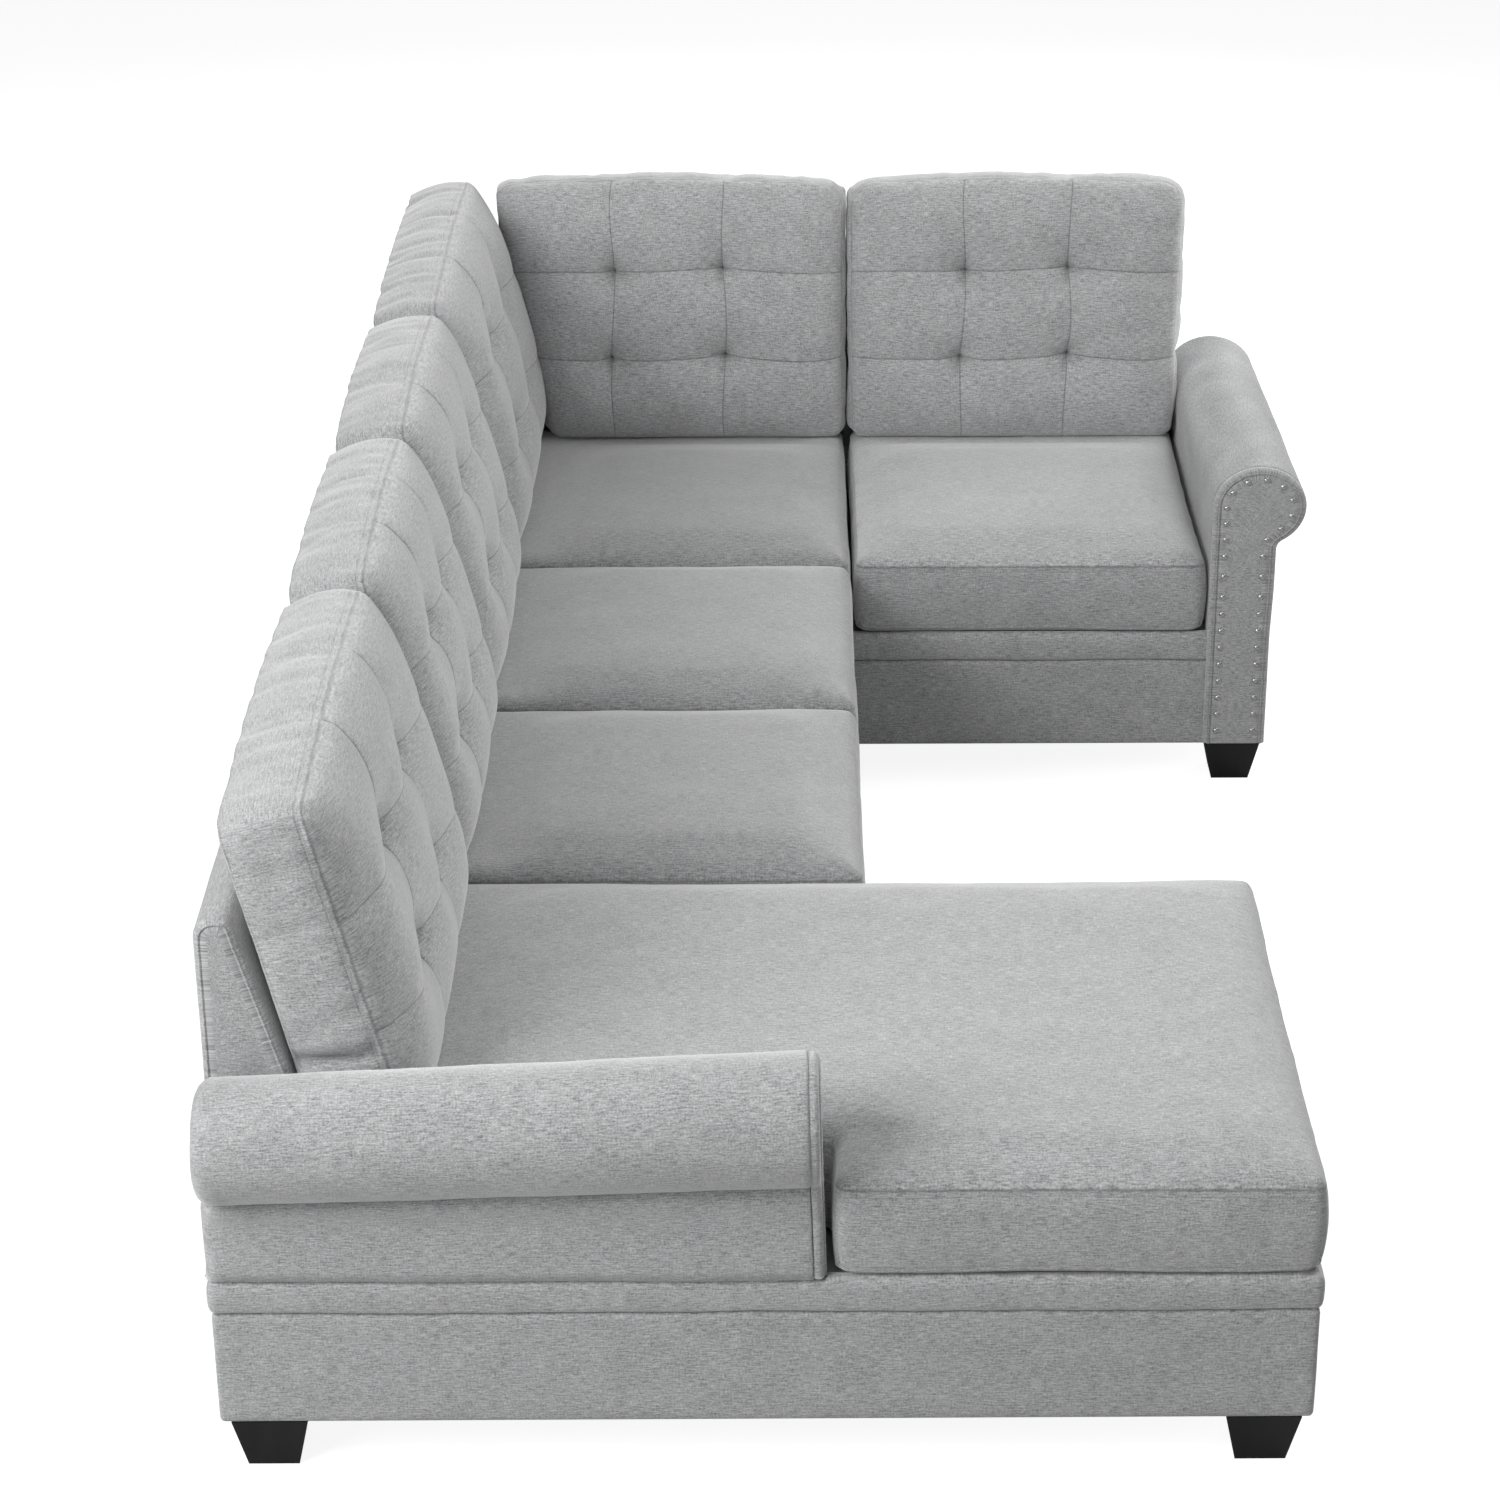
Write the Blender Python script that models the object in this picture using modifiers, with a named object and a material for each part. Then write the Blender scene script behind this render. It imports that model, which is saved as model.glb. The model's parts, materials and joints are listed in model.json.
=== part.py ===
"""U-shaped sectional sofa in three sections: chaise, two-seat middle and corner return.

Metres, +Z up. The long back runs along X on the +Y side and its seats face -Y. The chaise is
at the -X end, the return with the rolled arm at the +X end. Z = 0 is the floor, and X = Y = 0
is the middle of the sofa's outline.
"""
import math

import bmesh
import bpy

# Plan of the three sections
CHAISE_WIDTH = 0.93
CHAISE_DEPTH = 1.55
MIDDLE_SEAT_WIDTH = 0.66
MIDDLE_SEATS = 2
SEAT_DEPTH = 0.934
RETURN_DEPTH = 0.96
END_SEAT_WIDTH = 0.684

# Heights, from the floor up
LEG_HEIGHT = 0.083
LOWER_PANEL_HEIGHT = 0.179
RAIL_BAND_HEIGHT = 0.056
SEAT_BOXING = 0.136
SEAT_REST_RISE = 0.020
SEAT_CROWN = 0.022
BACK_RISE = 0.50

# Fits between pieces
GAP = 0.0003
SECTION_GAP = 0.0008
CUSHION_GAP = 0.003
CUT_OVERRUN = 0.02
WELD = 0.00002

# Upholstered base: a padded band over a plain lower panel
COVER_THICKNESS = 0.020
BASE_CORNER_RADIUS = 0.012
LOWER_PANEL_INSET = 0.004
SEAM_DEPTH = 0.005
SEAM_WIDTH = 0.010
EDGE_ROUND = 0.006

# Timber inside the base
RAIL_THICKNESS = 0.035
CORNER_BLOCK = 0.08
FRAME_DROP = 0.012
BOARD_THICKNESS = 0.022
BOARD_STILE = 0.06
BACK_BOARD_RISE = 0.42
BACK_BOARD_WINDOW = 0.30
ARM_BOARD_RISE = 0.17
ARM_BOARD_WINDOW = 0.22

# Seat suspension, deck cloth and dust cloth
SPRING_WIRE_RADIUS = 0.002
SPRING_HALF_WIDTH = 0.022
SPRING_PITCH = 0.115
SPRING_SPACING = 0.21
SPRING_BEARING = 0.009
TIE_OVERHANG = 0.012
TIE_RISE = 0.0009
DECK_THICKNESS = 0.0025
DUST_CLOTH_THICKNESS = 0.0015

# Backs: a wedge that thins to a rounded top
BACK_TOP_THICKNESS = 0.050
BACK_TOP_RADIUS = 0.022
BACK_LEAN = math.radians(16.2)
SMOOTH_ANGLE = math.radians(40)

# Arms: a flat post with a round roll that rises towards the front
ARM_WIDTH = 0.12
CHAISE_ARM_LENGTH = 0.857
ROLL_RADIUS = 0.086
ROLL_OVERHANG = 0.052
ROLL_TOP_RISE = 0.339
ROLL_FALL = 0.050
ARM_PANEL_THICKNESS = 0.016
ARM_PANEL_BEVEL = 0.004
ARM_CLEARANCE = 0.011

# Seat cushions
SEAT_EDGE_RADIUS = 0.045
SEAT_CORNER_RADIUS = 0.035
SEAT_SIDE_BULGE = 0.005
SEAT_SIDE_PULL = 0.006

# Back cushions
CUSHION_LEAN = math.radians(14.0)
BACK_CUSHION_HEIGHT = 0.507
BACK_CUSHION_BOXING = 0.125
BACK_CUSHION_CROWN = 0.046
BACK_CUSHION_CORNER = 0.055
BACK_CUSHION_PULL = 0.008
BACK_CUSHION_BULGE = 0.006
BACK_CUSHION_TOP_CROWN = 0.012
TUFT_DEPTH = 0.030
TUFT_RADIUS = 0.042
CHANNEL_DEPTH = 0.008
CHANNEL_HALF_WIDTH = 0.022
TUFT_COLUMN_SHARES = (0.34, 0.66)
TUFT_ROW_SHARES = (0.32, 0.65)
CORNER_CUSHION_SETBACK = 0.050
CORNER_CUSHION_SLANT = 0.125
CORNER_CUSHION_FLARE = 0.055
END_CUSHION_FLARE = 0.020

# Legs and their bolts
LEG_TOP = 0.107
LEG_FOOT = 0.072
LEG_SIDE_INSET = 0.006
LEG_END_INSET = 0.022
RETURN_LEG_END_INSET = 0.006
LEG_BOLT_RADIUS = 0.004
LEG_BOLT_LENGTH = 0.035
BOLT_CLEARANCE = 0.001

# Push-together connectors under the joints between sections
TONGUE_WIDTH = 0.040
TONGUE_THICKNESS = 0.003
TONGUE_LENGTH = 0.150
TONGUE_REACH = 0.055
JAW_LENGTH = 0.040
JAW_WALL = 0.0025
JAW_FLANGE = 0.014
JAW_CLEARANCE = 0.0006
CONNECTOR_SETBACK_REAR = 0.30
CONNECTOR_SETBACK_FRONT = 0.22

# Segment counts
BOLT_SIDES = 8
ROLL_STEPS = 10
NECK_STEPS = 4
FILLET_STEPS = 3
CORNER_STEPS = 2

# Worked out from the sizes above
BASE_TOP = LEG_HEIGHT + LOWER_PANEL_HEIGHT + RAIL_BAND_HEIGHT
BASE_HEIGHT = LOWER_PANEL_HEIGHT + RAIL_BAND_HEIGHT
FRAME_BOTTOM = LEG_HEIGHT + DUST_CLOTH_THICKNESS + 2 * GAP
FRAME_TOP = BASE_TOP - FRAME_DROP
SPRING_AXIS_Z = FRAME_TOP + GAP + SPRING_WIRE_RADIUS
DECK_Z = SPRING_AXIS_Z + TIE_RISE + SPRING_WIRE_RADIUS + GAP
BACK_BASE_THICKNESS = BACK_TOP_THICKNESS + BACK_RISE * math.tan(BACK_LEAN)
SEAT_REST_Z = BASE_TOP + GAP + SEAT_BOXING + SEAT_REST_RISE
RETURN_LENGTH = SEAT_DEPTH + END_SEAT_WIDTH + ARM_WIDTH
MIDDLE_WIDTH = MIDDLE_SEATS * MIDDLE_SEAT_WIDTH
TOTAL_WIDTH = ROLL_OVERHANG + CHAISE_WIDTH + MIDDLE_WIDTH + RETURN_DEPTH
TOTAL_DEPTH = max(RETURN_LENGTH + ROLL_OVERHANG, CHAISE_DEPTH)
CHAISE_X = ROLL_OVERHANG - TOTAL_WIDTH / 2
MIDDLE_X = CHAISE_X + CHAISE_WIDTH
RETURN_X = MIDDLE_X + MIDDLE_WIDTH
REAR_Y = TOTAL_DEPTH / 2
BACK_CUSHION_DEPTH = BACK_CUSHION_BOXING / math.cos(CUSHION_LEAN)
BACK_FACE_AT_REST = BACK_TOP_THICKNESS + (BASE_TOP + BACK_RISE - SEAT_REST_Z) * math.tan(BACK_LEAN)
SEAT_STRIP = BACK_FACE_AT_REST + BACK_CUSHION_DEPTH + BACK_CUSHION_CROWN - BACK_BASE_THICKNESS

# Which way an upright slab faces: its own X, Y and thickness in the sofa's directions
ALONG_X = (math.radians(90), 0, 0)
ALONG_MINUS_X = (math.radians(90), 0, math.radians(-90))
ALONG_Y = (math.radians(90), 0, math.radians(180))

FACING_LEFT = math.radians(-90)
LEAN_BACK = (-CUSHION_LEAN, 0, 0)
LEAN_RIGHT = (-CUSHION_LEAN, 0, FACING_LEFT)
CUSHION_BACK_Y = -BACK_FACE_AT_REST - CUSHION_GAP / 2
CUSHION_BACK_X = RETURN_DEPTH + CUSHION_BACK_Y

for old in list(bpy.data.objects):
    bpy.data.objects.remove(old, do_unlink=True)


def new_collection(name):
    """A fresh collection in the scene."""
    collection = bpy.data.collections.new(name)
    bpy.context.scene.collection.children.link(collection)
    return collection


SOFA = new_collection("u_shaped_sectional_sofa")
CUTTERS = new_collection("cutters")


def material(name, colour, roughness, metallic=0.0):
    """A plain material from its colour, roughness and metallic value."""
    made = bpy.data.materials.new(name)
    made.use_nodes = True
    shader = made.node_tree.nodes["Principled BSDF"]
    shader.inputs["Base Color"].default_value = (*colour, 1.0)
    shader.inputs["Roughness"].default_value = roughness
    shader.inputs["Metallic"].default_value = metallic
    return made


FABRIC = material("grey_chenille", (0.44, 0.45, 0.46), 0.95)
TIMBER = material("pine", (0.60, 0.44, 0.27), 0.75)
SPRING_STEEL = material("spring_steel", (0.35, 0.35, 0.36), 0.35, 1.0)
ZINC = material("zinc_plate", (0.62, 0.63, 0.65), 0.4, 1.0)
DECK_CLOTH = material("deck_cloth", (0.33, 0.33, 0.34), 0.95)
DUST_CLOTH = material("dust_cloth", (0.02, 0.02, 0.02), 0.95)
LEG_BLACK = material("black_leg", (0.012, 0.012, 0.012), 0.45)


def link(obj, finish, parent, location, rotation=(0, 0, 0)):
    """Put a finished piece in the sofa's collection, at its place in its section."""
    SOFA.objects.link(obj)
    obj.data.materials.append(finish)
    obj.parent = parent
    obj.location = location
    obj.rotation_euler = rotation
    return obj


def section_origin(name, x):
    """An empty on the floor at a section's rear left corner; the section's pieces hang from it."""
    empty = bpy.data.objects.new(name, None)
    SOFA.objects.link(empty)
    empty.location = (x, REAR_Y, 0)
    return empty


def finish_mesh(bm, name, smooth=True):
    """Close a bmesh into a mesh with its faces pointing out and its curved sides smooth."""
    bm.normal_update()
    bmesh.ops.recalc_face_normals(bm, faces=bm.faces)
    mesh = bpy.data.meshes.new(name)
    bm.to_mesh(mesh)
    bm.free()
    if smooth:
        mesh.shade_smooth()
        mesh.set_sharp_from_angle(angle=SMOOTH_ANGLE)
    return mesh


def curve_to_mesh(name, curve, shift=0.0):
    """The welded mesh of a curve, shifted along its own Z."""
    guide = bpy.data.objects.new(name + "_guide", curve)
    SOFA.objects.link(guide)
    bpy.context.view_layer.update()
    graph = bpy.context.evaluated_depsgraph_get()
    drawn = bpy.data.meshes.new_from_object(guide.evaluated_get(graph))
    bm = bmesh.new()
    bm.from_mesh(drawn)
    bmesh.ops.remove_doubles(bm, verts=bm.verts, dist=WELD)
    bmesh.ops.translate(bm, verts=bm.verts, vec=(0, 0, shift))
    bpy.data.objects.remove(guide, do_unlink=True)
    bpy.data.meshes.remove(drawn)
    bpy.data.curves.remove(curve)
    return finish_mesh(bm, name)


def slab(name, outlines, thickness):
    """A flat piece: closed outlines in its XY plane, the later ones holes, from z = 0 up."""
    curve = bpy.data.curves.new(name, "CURVE")
    curve.dimensions = "2D"
    curve.fill_mode = "BOTH"
    curve.extrude = thickness / 2
    for outline in outlines:
        spline = curve.splines.new("POLY")
        spline.points.add(len(outline) - 1)
        for point, (x, y) in zip(spline.points, outline):
            point.co = (x, y, 0, 1)
        spline.use_cyclic_u = True
    return bpy.data.objects.new(name, curve_to_mesh(name, curve, thickness / 2))


def tube(name, points, radius):
    """A round wire along a run of points, with closed ends."""
    curve = bpy.data.curves.new(name, "CURVE")
    curve.dimensions = "3D"
    curve.bevel_depth = radius
    curve.bevel_resolution = 0
    curve.use_fill_caps = True
    spline = curve.splines.new("POLY")
    spline.points.add(len(points) - 1)
    for point, (x, y) in zip(spline.points, points):
        point.co = (x, y, 0, 1)
    return bpy.data.objects.new(name, curve_to_mesh(name, curve))


def box_mesh(name, low, high):
    """A box between two corners."""
    bm = bmesh.new()
    bmesh.ops.create_cube(bm, size=1)
    for vert in bm.verts:
        for axis in range(3):
            vert.co[axis] = high[axis] if vert.co[axis] > 0 else low[axis]
    return finish_mesh(bm, name, smooth=False)


def cutter(obj, parent, location=(0, 0, 0), rotation=(0, 0, 0)):
    """Keep a cutting or joining shape out of the finished sofa."""
    CUTTERS.objects.link(obj)
    obj.parent = parent
    obj.location = location
    obj.rotation_euler = rotation
    obj.hide_render = True
    obj.display_type = "WIRE"
    return obj


def combine(obj, other, operation):
    """Cut a shape from a piece, or join one to it."""
    boolean = obj.modifiers.new(operation.lower(), "BOOLEAN")
    boolean.operation = operation
    boolean.solver = "EXACT"
    boolean.object = other


def cut_box(obj, parent, low, high):
    """Cut the box between two corners of the section from a piece."""
    name = f"{obj.name}_cut_{len(obj.modifiers)}"
    shape = bpy.data.objects.new(name, box_mesh(name, low, high))
    combine(obj, cutter(shape, parent), "DIFFERENCE")


def rectangle(x_low, x_high, y_low, y_high):
    """A plain rectangle."""
    return [(x_low, y_low), (x_high, y_low), (x_high, y_high), (x_low, y_high)]


def arc(centre, radius, start, end, steps):
    """Points round an arc, both ends included. Angles in radians."""
    angles = [start + (end - start) * step / steps for step in range(steps + 1)]
    return [(centre[0] + radius * math.cos(a), centre[1] + radius * math.sin(a)) for a in angles]


def bolt_hole(centre, radius):
    """A round hole for a leg bolt, without the arc's repeated last point."""
    return arc(centre, radius, 0, 2 * math.pi, BOLT_SIDES)[:-1]


def leg_centres(width, depth, end_inset):
    """Middles of a section's four legs, from its rear left corner."""
    side = LEG_SIDE_INSET + LEG_TOP / 2
    end = end_inset + LEG_TOP / 2
    return [(x, y) for x in (side, width - side) for y in (-end, end - depth)]


def bay_outline(x_low, x_high, y_low, y_high, width, depth):
    """One bay of a base frame, cut off where it meets a corner block of the frame."""
    edge = COVER_THICKNESS + GAP + RAIL_THICKNESS
    near = 2 * GAP
    points = []
    for x, y, first in (
        (x_low, y_low, "y"),
        (x_high, y_low, "x"),
        (x_high, y_high, "y"),
        (x_low, y_high, "x"),
    ):
        inward_x = CORNER_BLOCK if x == x_low else -CORNER_BLOCK
        inward_y = CORNER_BLOCK if y == y_low else -CORNER_BLOCK
        at_side = abs(x - edge) < near or abs(x - (width - edge)) < near
        at_end = abs(y + edge) < near or abs(y + depth - edge) < near
        if at_side and at_end:
            pair = [(x, y + inward_y), (x + inward_x, y)]
            points += pair if first == "y" else pair[::-1]
        else:
            points.append((x, y))
    return points


def base_frame(name, section, width, depth, rails_x, rails_y, centres):
    """Timber ladder frame: outer rails, cross rails, corner blocks and bolt holes."""
    outer = COVER_THICKNESS + GAP
    edge = outer + RAIL_THICKNESS
    half = RAIL_THICKNESS / 2
    x_stops = [edge] + [side for x in rails_x for side in (x - half, x + half)] + [width - edge]
    y_stops = [-edge] + [side for y in rails_y for side in (y + half, y - half)] + [edge - depth]
    outlines = [rectangle(outer, width - outer, outer - depth, -outer)]
    for left, right in zip(x_stops[::2], x_stops[1::2]):
        for rear, front in zip(y_stops[::2], y_stops[1::2]):
            outlines.append(bay_outline(left, right, front, rear, width, depth))
    for centre in centres:
        outlines.append(bolt_hole(centre, LEG_BOLT_RADIUS + GAP))
    frame = slab(name, outlines, FRAME_TOP - FRAME_BOTTOM)
    return link(frame, TIMBER, section, (0, 0, FRAME_BOTTOM))


def base_cover_steps():
    """Heights of the upholstered base's edges and seam, each with how far it lies inside."""
    seam = LOWER_PANEL_HEIGHT
    half = SEAM_WIDTH / 2
    return [
        (0, LOWER_PANEL_INSET + EDGE_ROUND / 2),
        (EDGE_ROUND, LOWER_PANEL_INSET),
        (seam - half, LOWER_PANEL_INSET),
        (seam, LOWER_PANEL_INSET + SEAM_DEPTH),
        (seam + half, LOWER_PANEL_INSET / 2),
        (seam + RAIL_BAND_HEIGHT / 2, 0),
        (BASE_HEIGHT - EDGE_ROUND, LOWER_PANEL_INSET / 4),
        (BASE_HEIGHT, EDGE_ROUND),
    ]


def base_cover(name, section, width, depth):
    """Upholstered ring round a base frame, with the seam between lower panel and rail band."""
    bm = bmesh.new()
    bmesh.ops.create_cube(bm, size=1)
    for vert in bm.verts:
        vert.co.x *= width
        vert.co.y *= depth
        vert.co.z = BASE_HEIGHT if vert.co.z > 0 else 0
    corners = [e for e in bm.edges if abs(e.verts[0].co.z - e.verts[1].co.z) > BASE_HEIGHT / 2]
    bmesh.ops.bevel(
        bm,
        geom=corners,
        offset=BASE_CORNER_RADIUS,
        segments=CORNER_STEPS,
        profile=0.5,
        affect="EDGES",
    )
    steps = base_cover_steps()
    for height, _ in steps[1:-1]:
        geometry = bm.verts[:] + bm.edges[:] + bm.faces[:]
        bmesh.ops.bisect_plane(bm, geom=geometry, plane_co=(0, 0, height), plane_no=(0, 0, 1))
    for vert in bm.verts:
        inset = min(steps, key=lambda step: abs(step[0] - vert.co.z))[1]
        vert.co.x -= math.copysign(inset, vert.co.x)
        vert.co.y -= math.copysign(inset, vert.co.y)
    bmesh.ops.translate(bm, verts=bm.verts, vec=(width / 2, -depth / 2, 0))
    cover = bpy.data.objects.new(name, finish_mesh(bm, name))
    link(cover, FABRIC, section, (0, 0, LEG_HEIGHT))
    cut_box(
        cover,
        section,
        (COVER_THICKNESS, COVER_THICKNESS - depth, LEG_HEIGHT - CUT_OVERRUN),
        (width - COVER_THICKNESS, -COVER_THICKNESS, BASE_TOP + CUT_OVERRUN),
    )
    return cover


def dust_cover(name, section, width, depth, centres):
    """Thin black cloth tacked under the frame, with holes for the leg bolts."""
    edge = COVER_THICKNESS + GAP
    outlines = [rectangle(edge, width - edge, edge - depth, -edge)]
    for centre in centres:
        outlines.append(bolt_hole(centre, LEG_BOLT_RADIUS + BOLT_CLEARANCE))
    cloth = slab(name, outlines, DUST_CLOTH_THICKNESS)
    return link(cloth, DUST_CLOTH, section, (0, 0, LEG_HEIGHT + GAP))


def deck(name, section, outline):
    """Deck cloth stretched over the springs."""
    return link(slab(name, [outline], DECK_THICKNESS), DECK_CLOTH, section, (0, 0, DECK_Z))


def sinuous_path(length):
    """The zigzag of one flat spring, along X from zero."""
    waves = max(1, round(length / SPRING_PITCH))
    half_pitch = length / (2 * waves)
    points = [(0, -SPRING_HALF_WIDTH)]
    side = 1
    for step in range(2 * waves):
        points.append((step * half_pitch, side * SPRING_HALF_WIDTH))
        points.append(((step + 1) * half_pitch, side * SPRING_HALF_WIDTH))
        side = -side
    return points, half_pitch


def spring_bank(name, section, start, length, spread, along_y=False):
    """Flat springs side by side, tied across by two wires. All are joined into one piece."""
    springs = max(2, round(spread / SPRING_SPACING))
    pitch = spread / springs
    turn = math.radians(-90) if along_y else 0
    path, half_pitch = sinuous_path(length)
    place = (*start, SPRING_AXIS_Z)
    low = pitch / 2 - SPRING_HALF_WIDTH - TIE_OVERHANG
    high = spread - low
    ties = []
    for share in (1 / 3, 2 / 3):
        at = (round(share * length / half_pitch) + 0.5) * half_pitch
        wire = tube(f"{name}_tie_{len(ties)}", [(at, low), (at, high)], SPRING_WIRE_RADIUS)
        for vert in wire.data.vertices:
            vert.co.z += TIE_RISE
        ties.append(wire)
    bank = link(ties[0], SPRING_STEEL, section, place, (0, 0, turn))
    bank.name = name
    for number in range(springs):
        wire = tube(f"{name}_{number}", path, SPRING_WIRE_RADIUS)
        for vert in wire.data.vertices:
            vert.co.y += (number + 0.5) * pitch
        combine(bank, cutter(wire, section, place, (0, 0, turn)), "UNION")
    combine(bank, cutter(ties[1], section, place, (0, 0, turn)), "UNION")
    return bank


def leg_mesh():
    """A tapered square leg with its bolt standing up from the middle."""
    half_diagonal = math.sqrt(0.5)
    bm = bmesh.new()
    bmesh.ops.create_cone(
        bm,
        cap_ends=True,
        segments=4,
        radius1=LEG_FOOT * half_diagonal,
        radius2=LEG_TOP * half_diagonal,
        depth=LEG_HEIGHT - GAP,
    )
    turned = math.radians(45)
    for vert in bm.verts:
        x, y = vert.co.x, vert.co.y
        vert.co.x = x * math.cos(turned) - y * math.sin(turned)
        vert.co.y = x * math.sin(turned) + y * math.cos(turned)
        vert.co.z += (LEG_HEIGHT - GAP) / 2
    block = bpy.data.objects.new("leg", finish_mesh(bm, "leg"))
    bolt_length = LEG_BOLT_LENGTH + LEG_HEIGHT / 2
    bm = bmesh.new()
    bmesh.ops.create_cone(
        bm,
        cap_ends=True,
        segments=BOLT_SIDES,
        radius1=LEG_BOLT_RADIUS,
        radius2=LEG_BOLT_RADIUS,
        depth=bolt_length,
    )
    bmesh.ops.translate(bm, verts=bm.verts, vec=(0, 0, (LEG_HEIGHT + bolt_length) / 2))
    bolt = cutter(bpy.data.objects.new("leg_bolt", finish_mesh(bm, "leg_bolt")), None)
    combine(block, bolt, "UNION")
    SOFA.objects.link(block)
    bpy.context.view_layer.update()
    graph = bpy.context.evaluated_depsgraph_get()
    joined = bpy.data.meshes.new_from_object(block.evaluated_get(graph))
    joined.materials.append(LEG_BLACK)
    bpy.data.objects.remove(block, do_unlink=True)
    bpy.data.objects.remove(bolt, do_unlink=True)
    return joined


def legs(prefix, section, centres, mesh):
    """Four legs under a section."""
    places = ("rear_left", "front_left", "rear_right", "front_right")
    for place, (x, y) in zip(places, centres):
        leg = bpy.data.objects.new(f"{prefix}_leg_{place}", mesh)
        SOFA.objects.link(leg)
        leg.parent = section
        leg.location = (x, y, 0)


def rounded(corners, steps):
    """An outline from corners given as x, y and fillet radius."""
    points = []
    count = len(corners)
    for index, (x, y, radius) in enumerate(corners):
        if not radius:
            points.append((x, y))
            continue
        before = corners[index - 1]
        after = corners[(index + 1) % count]
        back = math.atan2(before[1] - y, before[0] - x)
        ahead = math.atan2(after[1] - y, after[0] - x)
        turn = (ahead - back + math.pi) % (2 * math.pi) - math.pi
        half = abs(turn) / 2
        middle = back + turn / 2
        centre = (
            x + radius / math.sin(half) * math.cos(middle),
            y + radius / math.sin(half) * math.sin(middle),
        )
        sweep = math.pi - 2 * half
        facing = middle + math.pi
        side = math.copysign(sweep / 2, turn)
        points += arc(centre, radius, facing + side, facing - side, steps)
    return points


def back_outline():
    """Section of a back: upright outside, leaning front and a rounded top."""
    top = BACK_TOP_THICKNESS
    return rounded(
        [
            (0, 0, 0),
            (0, BACK_RISE, BACK_TOP_RADIUS),
            (top, BACK_RISE, BACK_TOP_RADIUS),
            (BACK_BASE_THICKNESS, 0, 0),
        ],
        FILLET_STEPS,
    )


def back_cover(name, section, length, corner, rotation, mitred_start=False, mitred_end=False):
    """Upholstered back along its own Z, from its corner point, mitred where two backs meet."""
    cover = slab(name, [back_outline()], length)
    for vert in cover.data.vertices:
        if mitred_start and vert.co.z < length / 2:
            vert.co.z += vert.co.x + GAP
        if mitred_end and vert.co.z > length / 2:
            vert.co.z -= vert.co.x + GAP
    x, y = corner
    return link(cover, FABRIC, section, (x, y, BASE_TOP + GAP), rotation)


def ladder_outlines(length, height, window):
    """A board with evenly spaced windows between upright stiles."""
    outlines = [rectangle(0, length, 0, height)]
    windows = max(1, round((length - BOARD_STILE) / (window + BOARD_STILE)))
    wide = (length - (windows + 1) * BOARD_STILE) / windows
    for number in range(windows):
        left = BOARD_STILE + number * (wide + BOARD_STILE)
        outlines.append(rectangle(left, left + wide, BOARD_STILE, height - BOARD_STILE))
    return outlines


def board(name, section, outlines, location, rotation):
    """An upright frame board that stands on the base frame."""
    piece = slab(name, outlines, BOARD_THICKNESS)
    x, y = location
    return link(piece, TIMBER, section, (x, y, FRAME_TOP + GAP), rotation)


def straight_back(prefix, section, left, right):
    """Back along X between two ends of a section: a board in a slot of its upholstered wedge."""
    cover = back_cover(f"{prefix}_back_cover", section, right - left, (right, 0), ALONG_MINUS_X)
    length = right - left - 2 * COVER_THICKNESS
    height = BACK_BOARD_RISE
    outlines = ladder_outlines(length, height, BACK_BOARD_WINDOW)
    near = COVER_THICKNESS + GAP
    board(
        f"{prefix}_back_frame",
        section,
        outlines,
        (left + COVER_THICKNESS, -near),
        ALONG_X,
    )
    cut_box(
        cover,
        section,
        (left + COVER_THICKNESS - GAP, -near - BOARD_THICKNESS - GAP, BASE_TOP - CUT_OVERRUN),
        (right - COVER_THICKNESS + GAP, GAP - near, FRAME_TOP + height + 2 * GAP),
    )


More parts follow.
